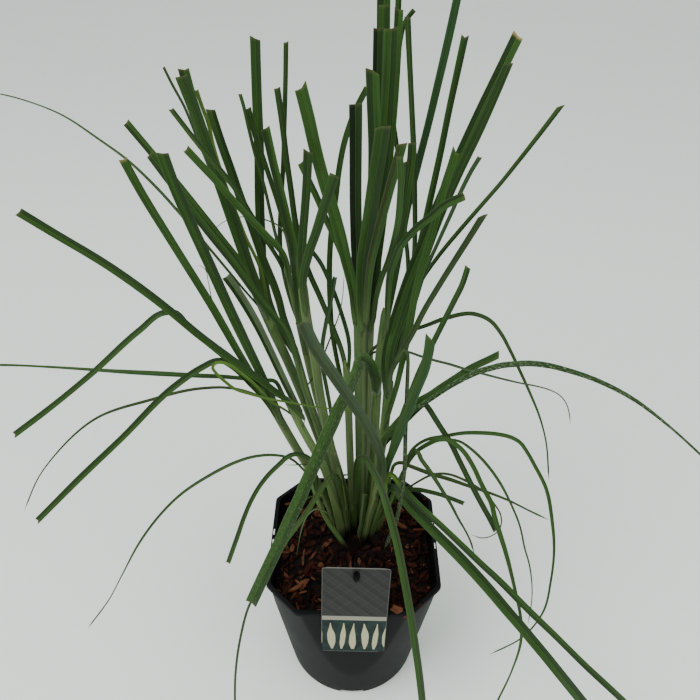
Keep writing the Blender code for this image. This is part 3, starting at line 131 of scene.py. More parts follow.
class Stroke:
    """One shoot or leaf: a smooth line in the picture, and its distance along each sight."""

    def __init__(self, kind, name, grows_on, widths, turn, points, tones="", marks=()):
        self.kind = kind
        self.name = name
        self.grows_on = grows_on
        self.turn = math.radians(turn)
        self.tones = tones
        self.marks = dict(mark.split("=") for mark in marks)
        curve = smooth_line(points)
        self.spots = curve[:, :2]
        self.lines = sight_lines(self.spots)
        self.far = (curve[:, 2] * MM - EYE[1]) / self.lines[:, 1]
        self.drawn = self.far
        self.width = self.width_along(np.linspace(0.0, 1.0, len(curve)), widths) * MM
        self.half_px = self.width / 2 * FOCAL_PX / self.far
        self.half_depth = self.depth_across(self.width / 2)
        moves = np.gradient(self.spots, axis=0)
        self.pace = np.linalg.norm(moves, axis=1)
        self.heading = moves / self.pace[:, None]

    def width_along(self, share, widths):
        """A shoot goes from one width to another. A leaf widens and may end in a long tip."""
        if self.kind == "shoot":
            return widths[0] + (widths[1] - widths[0]) * share
        grown = widths * (0.74 + 0.26 * np.clip(share / FULL_WIDTH_AT, 0, 1))
        if self.marks.get("end") == "tapered":
            return grown * np.clip((1.02 - share) / 0.55, 0.30, 1.0) ** 0.7
        return grown

    def depth_across(self, half):
        """Half the room that the stroke takes along a line of sight."""
        if self.kind == "shoot":
            return half * SHOOT_FLATNESS
        turned = half * abs(math.sin(self.turn))
        if self.kind == "leaf":
            return half * math.sin(LEAF_FOLD) / 2 + turned + LEAF_THICKNESS / 2
        return turned + NARROW_THICKNESS / 2

    def points(self):
        return EYE + self.lines * self.far[:, None]

    def nearest(self, spot):
        """The sample that is drawn nearest to a place in the picture."""
        return int(np.argmin(np.linalg.norm(self.spots - spot, axis=1)))


trial = Stroke("leaf", "trial", "", 8.0, 0.0, [(350, 400, 0), (350, 300, 0), (350, 200, 0)])
print("a stroke of 200 pixels is", round(lengths_along(trial.points())[-1], 3), "m long")

# %% [markdown]
# ## The strokes' tables
# No rule gives the places of real leaves, so they are written down. A stroke is a line of words,
# then its points from the foot up: x and y in pixels and mm behind the pot's axis. A shoot is a
# bundle of leaf bases, so it has a width at its foot and one at its top, in mm. A leaf has the
# shoot it grows on, one width, a turn about its own length in degrees, and its tones. Some have
# marks: `cut`, how far the left margin of a trimmed end outreaches the right, and both outreach
# the keel, in half widths; `end`, a tapered or pointed tip in place of a cut; `dry`, how far the
# end has dried; `flecked`, how dusty it is; `grey`, how grey a shoot is.

# %% Shoots
SHOOTS = """
shoot_left_low 9 8.5
341 538 28, 328 503 20, 311 472 12, 295 446 6, 280 420 2, 268 399 0

shoot_left_front 9 7.5
344 543 18, 334 500 10, 323.5 467 3, 315.3 452 -1, 307.3 438 -4, 299.5 423.6 -6, 292.8 410 -8,
287.5 399 -10

shoot_left_tall 9 9
346 530 44, 336 490 42, 323 450 40, 310 415 38, 298 385 37, 285 355 36, 272 328 36, 261 303 36,
248 274 38

shoot_left_middle 8.5 7 grey=0.3
349 525 37, 338 488 34, 325 448 30, 315 418 26, 306 390 22, 298 362 20, 293 345 18

shoot_left_back 8.5 6.5
352 519 54, 343 485 54, 331 445 54, 319 405 54, 310 370 54, 302 335 52, 295 303 50, 286 266 46

shoot_half_left 9.5 9
349 541 22, 343 505 18, 335 465 14, 327 430 10, 320 395 6, 314 355 4, 307 320 2, 302.5 285 2

shoot_inner_left 9 7
354 537 28, 352 495 24, 350 450 22, 348.5 410 20, 347 385 20, 346 365 20

shoot_middle 11 14 grey=0.75
361 530 34, 361 485 30, 361 440 26, 361 400 24, 361 360 22, 361 330 21, 361 306 20

shoot_back 10 10 grey=0.4
364 517 56, 365 480 60, 366 440 63, 367 400 64, 368 360 64, 369 330 64, 370 312 64

shoot_inner_right 9.5 9
367 527 42, 370.5 485 38, 374 445 34, 376 405 30, 378.5 370 26, 382 340 24, 386 312 22

shoot_right 10 9.5
369 535 30, 374 497 24, 379.5 460 18, 384 430 12, 387 402 8, 389 378 5

shoot_front_right 7.5 8
361 546 13, 364.7 535 9.5, 369.5 514 4, 375.5 494 -1, 383 470 -8

shoot_low_right 7 7
367 545 15, 370.5 535 12, 377.5 514 5, 384 497 -1, 388 480 -6

shoot_small_right 5 5
376 533 20, 380 523 18, 386 511 15, 395 490 10, 404 471 4

shoot_small_left 6 5
349 552 2, 340 539 0, 330 524.5 -2, 321 508 -4, 314 489 -6, 310 473 -8
"""
print(SHOOTS.count("shoot_"), "shoots")

# %% Leaves
LEAVES = """
leaf_far_left shoot_left_front 7.6 12 MD
303 417 -15, 290 404 -18, 283 397.5 -18.5, 272 389 -19, 260 379.5 -20, 248 371 -20,
233.5 360.5 -20, 200 336 -20, 165 307 -20, 110 267 -20, 50 231 -20, 18.5 212 -20

leaf_left_light shoot_left_low 7.6 -8 MM dry=0.5
279 416 -7, 262 390 -7, 243 360 -6, 210 303 4, 175 247 15, 140 190 26, 123 159 30

leaf_left_upper shoot_left_tall 6.8 10 DM
256 292 24, 240 262 28, 220 237 33, 200 212 39, 180 187 46, 149.3 150 55, 126 122.5 60

leaf_left_paired shoot_left_middle 7.2 -6 DM
298 362 13, 285 331 14, 262 302 15, 235 265 16, 207 230 18, 175 188 20, 149.5 154 24

leaf_left_crossing shoot_left_low 9.8 10 MD
281 420 -10, 265 383 -12, 250 352 -12, 230 310 -10, 210 266 -8, 190 222 -6, 173 183 -4, 162 153 -2

leaf_left_grey shoot_left_front 9.6 30 DP
300 413 0.5, 288.6 390 5.5, 277.5 367 7.5, 267 345 9.5, 257 325 10, 245 304 10, 234 287 9,
226 276.5 8

leaf_bundle_front shoot_left_tall 11 8 MD
262 305 27, 251 275 33, 243 252 39, 234 225 47, 222 190 57, 208 150 67, 195 112 75, 181 76 80

leaf_bundle_back shoot_left_tall 10 -8 DM
266 314 31, 256 282 40, 250 266 46, 244.5 250 51, 241 240 54, 234.5 220 60, 227 200 66,
219.5 180 72, 212 160 78, 205.7 140 83, 198.7 120 88, 192 100 92, 186.5 80 95, 183.5 69 96

leaf_left_short shoot_left_back 6.6 14 MM
291 285 38, 283 254 30, 265 234 29, 240 208 30, 215 180 30, 200 164 30, 186 149 30

leaf_behind_bundle shoot_left_middle 9 -12 MD
297 358 28, 290 335 43.5, 283 316 58, 279 300 68, 274 285 76, 268.5 272 82, 263.5 260 86,
256.5 240 91, 249.5 220 95, 244.5 208 97, 237.8 190 100, 231 170 104, 223.8 150 108, 217 130 112,
210.5 109.5 116

leaf_tall_left shoot_left_middle 10 6 MD
294 352 30, 280 328 55, 269 303 75, 263 272 92, 261 240 102, 259.5 200 114, 259 150 128,
257 100 140, 255 38 152

leaf_inner_pale_edge shoot_left_back 8.4 -10 DM
300 326 44, 297 285 54, 294 250 66, 288 222 76, 281 193 84, 275 170 90, 265.5 128 96

leaf_broad_left shoot_middle 11 8 MM cut=-0.5/0.6
357 322 12, 352 285 14, 345 256 18, 340 235 20, 333 210 24, 325 185 28, 315 148 33, 308 117 37,
300.5 87 40

leaf_half_left_back shoot_half_left 8.2 -14 DD
305 305 10, 302 272 14, 303 235 20, 305 210 24, 307 180 28, 308 151 31

leaf_half_left_front shoot_half_left 8.2 12 MD
306 312 -6, 303 282 -10, 309 252 -14, 316 232 -17, 322 213 -20, 328 195 -23, 334.5 175 -26

leaf_drooping_left shoot_left_low 6.8 15 MDYL
284 427 -2, 275 414 -3, 262 396 -3, 250 383.5 -3, 240 373 -3, 230 365 -3, 222 360.8 -3,
215 361.3 -3, 203 367 -5, 175 386 -13, 120 440 -35, 80 478 -50, 37 521 -65

leaf_front_left shoot_inner_right 12.6 6 DM cut=0.1/0 flecked=0.3
377 392 16.5, 374 374 3, 369 362 -9, 362 357.5 -16, 357 371 -24.5, 353 380 -30, 348.5 390 -36,
343.5 400 -41, 338 410 -46, 334 420 -51, 329.5 430 -56, 325 440 -61, 316.5 460 -70.5,
307.5 480 -79, 299 500 -87, 289.5 520 -93.5, 281 540 -100, 271.5 560 -106.5, 262 580 -113,
251 603.5 -120

leaf_front_inner shoot_half_left 5.6 15 MO
344 508 8, 341.5 492 0, 338.5 479 -11, 334 475 -19, 328 480 -26, 322 488.5 -31, 316 497.5 -35,
308 510 -41, 296.5 526 -50, 287 539 -58, 271 568 -72

leaf_top_highest shoot_back 12 -5 DM
370 320 76, 375 270 88, 378 210 98, 381 150 106, 383 80 114, 383.5 30 118, 384 -18 120

leaf_top_dark shoot_back 8 10 ND
367 325 50, 369 285 51, 372 240 54, 374 180 58, 376 120 62, 377 75 64, 378 28 66

leaf_top_broad shoot_back 11.4 -12 MD
369 330 45, 371 290 44, 374 245 43, 378 210 44, 382 175 45, 385 140 46, 388 95 47, 390 60 48,
391 28 50

leaf_top_right shoot_back 7.6 12 DM
371 325 55, 377 270 60, 384 210 67, 390 150 73, 394 100 77, 397 50 80, 399 9 82

leaf_right_straight shoot_right 6.6 16 MD cut=0/0.9
388 385 16, 397 345 37, 405 305 50, 413 275 60, 421 240 70, 430 200 78, 440 155 84, 450 105 88,
458 68 90, 465 36 92

leaf_right_bluish shoot_inner_right 7.6 -14 SS
386 325 34, 394 285 52, 401 245 70, 407 210 86, 418 165 100, 427 130 108, 437 88 114, 446 50 118,
457 0 122, 461 -20 123

leaf_right_tallest shoot_right 10 8 DM cut=0.3/0.2 dry=0.95
387 395 -1, 385 365 0, 389 338 4, 398 308 12, 408 280 20, 421 248 28, 437 208 36, 455 167 44,
480 113 52, 500 72 57, 518 35 60

leaf_right_lower_edge shoot_right 7.4 -16 DD
389 390 -4, 393 352 -2, 403 318 4, 415 285 10, 428 250 18, 441 215 24, 459 173.5 32,
481.5 126.5 38, 496.5 92.5 42, 509 63 45

leaf_right_low shoot_right 5.6 10 KK cut=-1.2/0
390 390 -6, 391 374 -9, 398.5 358 -12, 406.5 344 -12, 414.5 329.5 -12, 422.5 313.5 -12,
440.3 283.4 -11, 455.3 259.4 -11, 469.6 237 -10, 483 215.5 -10

leaf_bent_tip shoot_inner_right 6.4 12 DM
387 330 12, 388 295 2, 391 270 -8, 394.5 260 -12, 398.5 250 -16, 405.5 240 -22, 412 232.5 -28,
420 225 -35, 430 217.3 -43, 445 205 -51, 464 196 -60

leaf_right_short shoot_right 6.8 -10 MM cut=0.7/0.8
385 425 6, 392 402 -2, 397 385 -6, 401 368 -8, 405 350 -8, 409 330 -7, 417 285 -4, 430 240 0,
438 210 2, 445 185 4, 451 167 5, 456 151 6

leaf_olive shoot_middle 7.8 10 OM
366 322 10, 368 285 4, 371 262 -2, 378 232 -8, 386 202 -14, 392 180 -18, 397 163 -22, 402 144 -25

leaf_soft_green shoot_inner_right 7.6 -15 DM
385 335 36, 390 295 34, 396 260 32, 401 235 30, 405 207 28, 408 185 26, 411 163 24, 412.5 143 22

leaf_middle_front shoot_middle 12 5 MD cut=-0.3/0.1
362 330 6, 362 288 2, 363 262 0, 367 235 -3, 371 208 -6, 375 180 -8, 379 155 -10, 383 127 -12

leaf_middle_tall shoot_back 10.6 -8 DM cut=0.5/0
366 328 40, 367 285 34, 371 240 30, 373.5 190 26, 374.5 145 22, 373.5 105 18, 372.5 71 16

leaf_middle_left shoot_middle 11 10 ND
359 318 34, 357.5 285 36, 356.5 250 36, 355.5 200 34, 355.5 150 32, 355.5 104 30

leaf_right_arching shoot_right 6 12 SDLG end=tapered flecked=1
381 452 6, 385 439 0, 390 434.5 -2.5, 400 425.5 -6, 410 413 -8, 420 405.5 -8.5, 430 399.5 -9,
440 392.5 -10, 450 386 -10.5, 460 380.3 -11, 470 375.3 -11, 480 371 -12, 490 368.3 -13,
500 365.7 -13.5, 515 364 -15.5, 530 363.4 -17.5, 550 365.8 -21, 570 371 -25.5, 580 374 -28,
630 397 -42, 670 427 -52, 700 454 -60, 716 469 -64

leaf_right_blunt shoot_right 7.4 -8 MM cut=0.5/0
384 436 2, 400 419 4.5, 410 409 6, 420 400.5 8, 430 395 9.5, 440 388 12, 450 381.5 13.5,
460 375 14.5, 470 368.5 16, 480 363.6 17.5, 490 359 19, 499 354.5 20

leaf_trailing_light shoot_low_right 7.4 18 MDLB
386 492 -14, 386 478 -18, 389 474 -21, 400 484 -30, 410 495.5 -38, 420 506 -45, 440 524.5 -60,
460 543.5 -72, 480 562.5 -84, 500 581 -96, 527 608.5 -111, 556 636.5 -126, 585 665 -138,
614 692 -148, 632 709 -154

leaf_trailing_broad shoot_low_right 11.6 6 DMGG
384 506 -6, 387 489 -12, 393 487.5 -15, 402 497.5 -22, 410 507 -28, 420 517.5 -36, 430 527.5 -44,
440 537.5 -52, 460 557.5 -68, 480 579 -84, 494 595 -93, 507 610.5 -101, 520.5 626 -109,
533 641 -116, 546 656.5 -123, 558.5 672 -129, 571 687.5 -134, 590 711 -142

leaf_over_label shoot_inner_left 8.2 8 KMGG
355 505 14, 355.5 485 3, 356.5 467 -8, 360 458 -15, 365 458 -20, 370 465 -27, 373.5 471 -33,
378 480 -41, 382 490 -50, 385.3 500 -58, 391 520 -70, 396.4 540 -82, 400.7 560 -92,
404.5 580 -101, 411.5 620 -119, 416 650 -132, 419.3 674 -141, 422 698 -149, 423.5 714 -154

leaf_right_front shoot_front_right 9.4 -10 MS cut=1.1/0.3
383 490 -12, 388 463 -21, 393 450 -24, 397 440 -27, 400.7 430 -31, 404.3 420 -34, 409 410 -36,
412.6 400 -38, 416.5 390 -40, 420.7 380 -42, 424.6 370 -43, 427 360 -44, 429 350 -45,
430.5 339 -46

leaf_front_grey shoot_front_right 10.6 8 KG cut=0.7/0
381 488 -12, 382 463 -24, 375 440 -34, 366 424 -42, 356 408 -50, 345 392 -58, 330 370 -70,
315 347 -82, 303 323 -94
"""
print(LEAVES.count("leaf_"), "leaves")

# %% Narrow leaves
# In the solids these are fused to what they grow on.
NARROW_LEAVES = """
fine_left_arch shoot_left_tall 2.8 0 GM end=tapered dry=0.6
268 320 36, 240 285 32, 215 255 33, 183 217 36, 155 186 42, 125 158 50, 100 140 55, 60 114 60,
30 102 60, 0 94 58, -14 92 56

fine_left_hook shoot_left_low 1.6 0 GG end=tapered
273 406 4, 245 360 12, 223 322 22, 213 303 24, 208 280 22, 205 269 20, 199 265.5 16, 192 268 12

fine_left_curl shoot_left_back 1.6 0 GG end=tapered
292 290 52, 289 250 70, 280 227 90, 266 220 112, 250 217 116, 230 219 100, 217 227 84, 209 241 72

narrow_left_folded shoot_left_front 6.2 20 MD
290 404 -10, 270 391 -9.5, 225 357 -7, 190 328 -5, 173 312 -6, 163 313 -8, 140 330 -14,
90 375 -30, 50 408 -42, 14 435 -52

narrow_left_level shoot_left_front 5.6 30 SM end=tapered
290 409 0, 286 401 2, 282 393 3, 278 385 4, 275 381 4, 265 380.5 4, 240 378 4, 220 376.4 3,
205 375.9 2, 130 372 -4, 50 367 -12, 0 365 -18, -14 365 -20

narrow_left_low_arch shoot_left_low 3.2 0 DO end=tapered dry=0.6
276 411 6, 262 398 9, 245 391 10, 230 388 8, 200 388.5 2, 150 400 -8, 95 419 -20, 55 455 -35,
40 475 -42, 24 511 -55

fine_yellow_loop shoot_left_front 3 0 LY end=tapered
291 414 -9, 282 408 -16, 271 402 -22, 262 392 -26, 250 380 -29, 240 372.5 -30, 230 365.5 -31,
222 362.5 -31, 215 363.5 -31, 212.5 367.5 -31, 216 373 -31, 225 381.5 -30, 235 389 -29,
250 394 -28, 270 399 -27, 290 402.5 -25, 310 406 -23, 332 409 -22, 352 411 -20, 367 412 -18

narrow_bundle_grey shoot_left_tall 2.6 0 GG
255 290 40, 240 246 70, 222 200 90, 208 165 102, 197 138 108, 184 106 110, 172 84 111,
163.5 67 112

narrow_bundle_yellow shoot_left_tall 3.6 0 LY
269 312 37, 266 293 46, 263.5 280 53, 259 265 60, 253 252 66, 246 238 72, 239 220 80, 232 202 87,
225 183 92, 219 165 96, 214.5 150 99, 212 140 101, 210 130 102, 207.2 120 103, 203.3 110 104,
196.5 90 105

narrow_left_light shoot_left_back 5 20 MD
297 312 50, 281 264 46, 265 238 43, 250 213 42, 236 190 43, 222 172 44, 200 146 45, 185 127 46,
171 109 46

narrow_centre_left shoot_left_back 3.4 10 MD
294 300 48, 286 265 72, 277 240 86, 271 215 96, 264 185 102, 256 158 106, 249 130 108,
243 104 109, 240 94 110

narrow_centre_left_wide shoot_left_back 5.4 -20 MD
301 330 50, 295 280 80, 288 240 98, 279 207 106, 271 182 110, 263 158 112, 256 138 114,
248.5 108 116

narrow_upright_left shoot_left_back 4.8 0 MD
301 330 53, 292 305 70, 284 275 92, 280 240 110, 280 225 116, 283 170 130, 284.5 120 142,
285.5 80 150, 286 42 156

narrow_inner_left shoot_inner_left 6.4 15 MD
347 380 20, 342 352 34, 333 328 48, 320 297 66, 308 270 80, 300 245 92, 295 220 102, 291 190 112,
286 155 122, 282 122 130, 277 88 138

narrow_dark_upright shoot_inner_left 5.8 0 MD
348 402 22, 341 378 40, 336 355 50, 332 330 56, 330 300 62, 330 250 72, 332 225 78, 336 195 84,
339 170 90, 345 140 98, 358 105 108, 367 88 112

narrow_grey_stub shoot_half_left 4.4 0 SG
330 445 12, 331 415 18, 327 390 22, 323 368 25, 322.5 345 27, 326 323 30, 331 300 34, 335 277 38

narrow_dark_left shoot_middle 6.2 -10 MD
357 330 24, 350 283 27, 344 260 35, 335 238 44, 325 217 54, 318 200 60, 310 183 64, 300.5 163 68

narrow_thin_green shoot_inner_left 4.4 0 SS
348 375 22, 349 343 32, 341 312 38, 334 292 42, 328 278 44, 320 262 44, 311 250 40

fine_dark_diagonal shoot_left_middle 1.8 0 MD end=tapered
309 402 24, 305 392 25, 314 376 29, 326 349 33, 333 331 34, 339 315 34, 343 293 34, 344 273 34

narrow_second_top shoot_back 9 0 MD
372 318 64, 376 260 72, 380 180 82, 382.5 100 90, 383.5 50 94, 384 5 96

narrow_top_dark shoot_back 5.4 0 MD
371 316 64, 379 260 76, 388 180 88, 394 100 97, 397 40 102, 399 -16 104

narrow_top_hooked shoot_back 4.4 20 MD
372 322 64, 381 245 74, 388 165 84, 393 110 90, 398 65 93, 401 38 93, 405 22 91, 414 10 87

narrow_pale_upright shoot_middle 5.4 15 MM
370 328 20, 376 300 8, 381 280 0, 388.3 260 -10, 394 240 -18, 398 221 -24, 400 200 -28,
401 178 -32, 400 157 -35

narrow_yellow_upright shoot_inner_right 4 0 MD
385 320 22, 390 282 12, 395 252 2, 400 222 -6, 403 195 -12, 405 178 -16, 406 162 -20

narrow_dark_crossing shoot_right 4.2 0 MD
389 384 8, 394 345 18, 402 315 24, 407 292 31, 408 262 42, 406 240 50, 404 220 58, 401 178 70,
397 147 78, 393 120 82, 389 93 86

narrow_right_upright shoot_right 5.2 20 MD
388 388 8, 401 345 30, 410 305 35, 414 262 41, 415 230 44, 414.5 190 44, 413.5 145 42,
411.5 100 41, 409 50 40, 407.5 17 40

narrow_right_grey shoot_right 4.2 25 GS
389 384 6, 404 340 10, 415 303 14, 425 272 18, 436 247 24, 450 216 34, 463 187 44, 473 168 48,
480 157 50

narrow_right_far shoot_right 4.2 15 MD cut=-1.2/0
388 381 10, 402 325 38, 423 278 45, 440 254 47, 460 230 45, 480 207 43, 500 184 41, 520 159 39,
545 127 37, 561 106 36

narrow_right_behind shoot_front_right 5.6 10 MD
383 474 -6, 396 432 -6, 408 400 -8, 420 370 -10, 433 343 -10, 445 319 -6, 453 303 0, 462 285 8,
468 267 14

narrow_right_high_arch shoot_inner_right 4.4 10 MKLM end=tapered
378 376 30, 371 360 44, 370 353 50, 375 347.5 52, 380 343 52, 390 337.5 50, 397 334.5 50,
408 331 48, 420 327.5 46, 430 324 44, 440 320 42, 450 317 39, 460 314.5 36, 470 313.5 33,
480 315.5 29, 490 320.5 24, 500 332 17, 510 350 10, 520 371 4, 530 393 -1, 540 418 -8,
545.5 439 -14, 549 480 -24

fine_right_arch shoot_middle 2.8 0 GG end=tapered
365 372 26, 370 355 32, 380 350.5 31, 390 349.7 29, 400 350.5 27, 410 352.5 26, 420 356 25,
435 360.5 22, 450 364.3 19, 465 369 15, 480 373 10, 500 378.3 0, 520 383 -9, 540 387 -14,
550 390 -16, 560 395.5 -18, 566 403 -20, 569 412 -22, 570.3 425.5 -24

narrow_right_bow shoot_small_right 4.8 25 MMLM end=tapered dry=0.7
402 477 6, 407 460 2, 412 450 0.5, 420 443 -0.5, 430 438.5 -2, 440 436.8 -2.5, 450 435 -3,
460 433.3 -3, 480 432.8 -4.5, 500 434.6 -6.5, 510 437 -8.5, 520 442.5 -11.5, 527 452 -14.5,
535 466 -18.5, 546 488 -25, 552 520 -34, 554 550 -44, 551 580 -54, 544 610 -62, 525 635 -70,
489 655 -76

narrow_right_droop shoot_small_right 6 25 MMLM end=tapered
401 480 4, 408 463 -3.5, 417 451 -8.5, 428 444 -11.5, 437 440 -13.5, 447 439.5 -15, 455 444 -18,
463 451 -22.5, 470 461 -28, 475 470 -32, 480 481 -38, 485 491 -42.5, 491 502 -48, 495 518 -54,
500 534 -60, 505 550 -66, 508 561 -70, 515 590 -80, 521 620 -91, 521 640 -98, 512 670 -106,
498 700 -112, 491 714 -114

narrow_right_thin_droop shoot_small_right 3.4 20 MMLM end=tapered
403 474 3, 409 462 5.5, 417 451 7.5, 428 443 8, 440 440 8, 450 439.5 7.5, 460 441.5 6, 470 448 3,
480 457 -0.5, 490 468.5 -5.5, 500 483 -11.5, 510 502 -19.5, 520 526.5 -30, 525 549 -38.5,
529 563 -43.5, 532 595 -52, 528 625 -60

narrow_right_straight_fall shoot_right 6 0 DD
383 447 10, 395 433 14, 408 419 14, 418 409 11, 425 404 3, 429 409 -2, 436 420 -6, 443 431 -10,
449 440 -14, 459 460 -23, 469 480 -34, 480 501 -45.5, 491 521 -56, 496 531 -58

narrow_right_tent shoot_small_right 4.8 10 MK end=tapered
401 484 2, 406 462 -13, 412 452.5 -18.5, 416 450.5 -21, 421 459 -23, 429 470 -26, 436 480.5 -28.5,
442.5 490.8 -31, 449 501 -33.5, 459.6 520.8 -38.5, 465.5 530.8 -41, 470.2 540.6 -44, 474.4 554 -46

narrow_right_low_line shoot_low_right 4.8 15 MO end=tapered
387 489 2, 391 474 10, 395 464 13.5, 400 462.5 14, 410 466 11.5, 430 473.5 8, 450 479.5 4,
470 486.5 -0.5, 490 493 -5.5, 510 501 -11, 530 511 -16, 549 520 -20

narrow_right_low_blunt shoot_small_right 5.4 20 MD dry=0.15
396 498 12, 405 491 9.5, 415 489.5 7, 430 492 2, 440 494.5 -2, 450 498 -7, 464 503.5 -14

fine_right_curl shoot_small_right 2.8 0 KO end=tapered
399 492 7.5, 410 486.5 -1, 420 480.5 -4, 430 475.5 -5, 440 473.5 -5.5, 450 474.5 -8, 460 478 -11,
470 483 -14, 480 489 -17, 488 496 -20, 495 505 -22.5, 500 513 -26, 501.5 521 -29.5, 499 530 -34,
490 536.5 -39, 482 538 -42.5, 471 534.5 -45.5

narrow_hanging_grey leaf_right_low 4.4 0 KN end=pointed flecked=0.8
401.5 353 -11, 404.3 349.5 -10.5, 406.7 351.5 -11, 407.7 357 -13, 407.7 372 -17, 407 390 -20,
406 420 -21, 405.3 440 -26, 405.2 450 -30, 403.5 480 -38, 400.5 500 -44, 397 518 -48, 391 534 -50,
384.5 549 -50

narrow_left_thin_arch shoot_small_left 3.6 20 MD end=tapered dry=0.8
315 484 -6, 309 477 -12, 305 471.5 -14, 300 466 -15.5, 295 461.5 -16.5, 288 457.5 -17.5,
280 455.7 -18, 270 455 -18.5, 260 455.7 -19.5, 250 457.5 -20.5, 235 462.5 -24, 220 469.5 -29,
210 475 -32, 180 495 -42, 155 521 -50, 138 545 -58, 122 575 -66, 110 598 -72, 88 628 -78

narrow_left_arch shoot_small_left 5.2 15 MD
317 487 -8, 314 468 -16.5, 310 459 -20.5, 305 456 -22.5, 298 454 -25, 291 455 -27.5,
285 458.7 -29.5, 280 463.5 -32, 270 473 -37, 261 484 -42, 252 499 -48, 245 515 -54, 238 535 -60,
228 563 -68

fine_left_level shoot_small_left 1.6 0 MD end=tapered
314 476 -9, 311 466 -8.5, 305 464.3 -9, 295 465 -11, 281 464.5 -16

fine_pale_curl shoot_small_left 2.2 0 PG end=tapered
331 516 -5, 324 511 -10, 316 509 -14, 308 514 -19, 303 524 -24, 299 541 -32, 296 558 -36

thin_behind_front_left shoot_small_left 2.8 0 DK
322 498 -7, 310 497 -20, 298 512 -40, 283 542 -62, 268 568 -78, 256 592 -92, 249 606 -96,
241 635 -104, 236 668 -112, 235 700 -117, 235.5 711 -119

stub_shoot shoot_front_right 5.4 0 PK
359.5 536 5, 361 526 3, 362.7 513 0, 365 494.5 -4
"""
print(NARROW_LEAVES.count("\n\n") + 1, "narrow leaves")

# %% Read the tables
MULCH_TOP = 0.172
ROOT_RISE = 0.006           # the least height of a fused leaf's foot over the mulch


def read_table(table):
    """The words and the points of each stroke in a table."""
    for block in table.strip().split("\n\n"):
        words, spots = block.split("\n", 1)
        yield words.split(), [tuple(map(float, spot.split())) for spot in spots.split(",")]


def rooted(points, shoot):
    """The points of a fused leaf, led on from a little lower down inside its shoot."""
    clear = int(np.argmax(shoot.points()[:, 2] > MULCH_TOP + ROOT_RISE))
    k = max(clear, shoot.nearest(points[0][:2]) - 2)
    back = (EYE[1] + shoot.lines[k, 1] * shoot.far[k]) / MM
    return [(*shoot.spots[k], back), *points]


def read_leaves(kind, table):
    """The strokes of a table of leaves."""
    for (name, base, width, turn, tones, *marks), points in read_table(table):
        if kind == "narrow":
            points = rooted(points, stroke_of[base])
        yield Stroke(kind, name, base, float(width), float(turn), points, tones, marks)


shoots = [Stroke("shoot", name, "", (float(foot), float(top)), 0.0, points, marks=marks)
          for (name, foot, top, *marks), points in read_table(SHOOTS)]
leaves = list(read_leaves("leaf", LEAVES))
stroke_of = {stroke.name: stroke for stroke in shoots + leaves}
narrow = list(read_leaves("narrow", NARROW_LEAVES))
print("samples:", sum(len(stroke.spots) for stroke in shoots + leaves + narrow))

# %% [markdown]
# ## Sliding the strokes apart
# Real leaves push each other aside, and drawn ones run into each other. They could be moved by
# hand, but every move makes a new clash. Here each pair that crosses is slid apart along the
# lines of sight, a little at a time. That keeps the clump's outline and gives every crossing a
# front leaf and a back leaf.

# %% The roots of the fused leaves
ROOT_STEP = 0.0005          # between the depths of the leaves fused to one shoot
ROOT_EASE = 10              # samples over which a fused leaf leaves its shoot's depth
INSIDE_SHOOT = 0.7          # a sample this near a shoot's line, for its half width, is inside
PAST_SHOOT = 0.35           # the same beyond the shoot's end


def set_roots(strokes):
    """Note which samples of each fused leaf lie inside its shoot."""
    used = {}
    for stroke in strokes:
        stroke.root = 0
        if stroke.kind != "narrow":
            continue
        base = stroke_of[stroke.grows_on]
        used[base.name] = used.get(base.name, 0) + 1
        away = np.linalg.norm(stroke.spots[:, None] - base.spots[None], axis=2)
        nearest = np.argmin(away, axis=1)
        beside = nearest < len(base.spots) - 1
        limit = np.where(beside, INSIDE_SHOOT, PAST_SHOOT) * base.half_px.max()
        stroke.root = max(1, int(np.argmin(away.min(axis=1) < limit)))
        stroke.root_in = nearest[:stroke.root]
        stroke.side_step = ROOT_STEP * (used[base.name] % 4 - 1.5)


def hold_root(stroke):
    """Lead a fused leaf back into its shoot, with an easy change past the shoot's edge."""
    inside = stroke_of[stroke.grows_on].far[stroke.root_in] + stroke.side_step
    missing = inside[-1] - stroke.far[stroke.root - 1]
    fade = np.clip(1 - (np.arange(len(stroke.far)) - stroke.root) / ROOT_EASE, 0, 1)
    stroke.far = stroke.far + missing * fade * fade
    stroke.far[:stroke.root] = inside


# %% Where strokes cross
MARGIN_PX = 1.0             # strokes this near to each other count as crossing
ROOT_SAMPLES = 3            # samples of a fused leaf that may touch its shoot,
ROOT_WIDTHS = 2.2           # and as many as this share of the shoot's half width holds


def close_pairs(strokes, starts):
    """Every two samples of different strokes that overlap in the picture, and their order."""
    rows = []
    for i, one in enumerate(strokes):
        for j in range(i + 1, len(strokes)):
            other = strokes[j]
            away = np.linalg.norm(one.spots[:, None] - other.spots[None], axis=2)
            near = away < one.half_px[:, None] + other.half_px[None] + MARGIN_PX
            for mine, theirs, grid in ((one, other, near), (other, one, near.T)):
                grid[:mine.root] = False
                if mine.kind == "narrow" and mine.grows_on == theirs.name:
                    touching = theirs.half_px.max() * ROOT_WIDTHS / STEP_PX
                    grid[:int(ROOT_SAMPLES + touching)] = False
                if mine.kind == theirs.kind == "narrow" and mine.grows_on == theirs.grows_on:
                    grid[:mine.root + ROOT_EASE // 2] = False
            a, b = np.nonzero(near)
            if len(a):
                side = 1.0 if np.mean(one.drawn[a] - other.drawn[b]) > 0 else -1.0
                rows.append(np.stack([a + starts[i], b + starts[j], np.full(len(a), side)], 1))
    pairs = np.concatenate(rows)
    return pairs[:, 0].astype(int), pairs[:, 1].astype(int), pairs[:, 2]


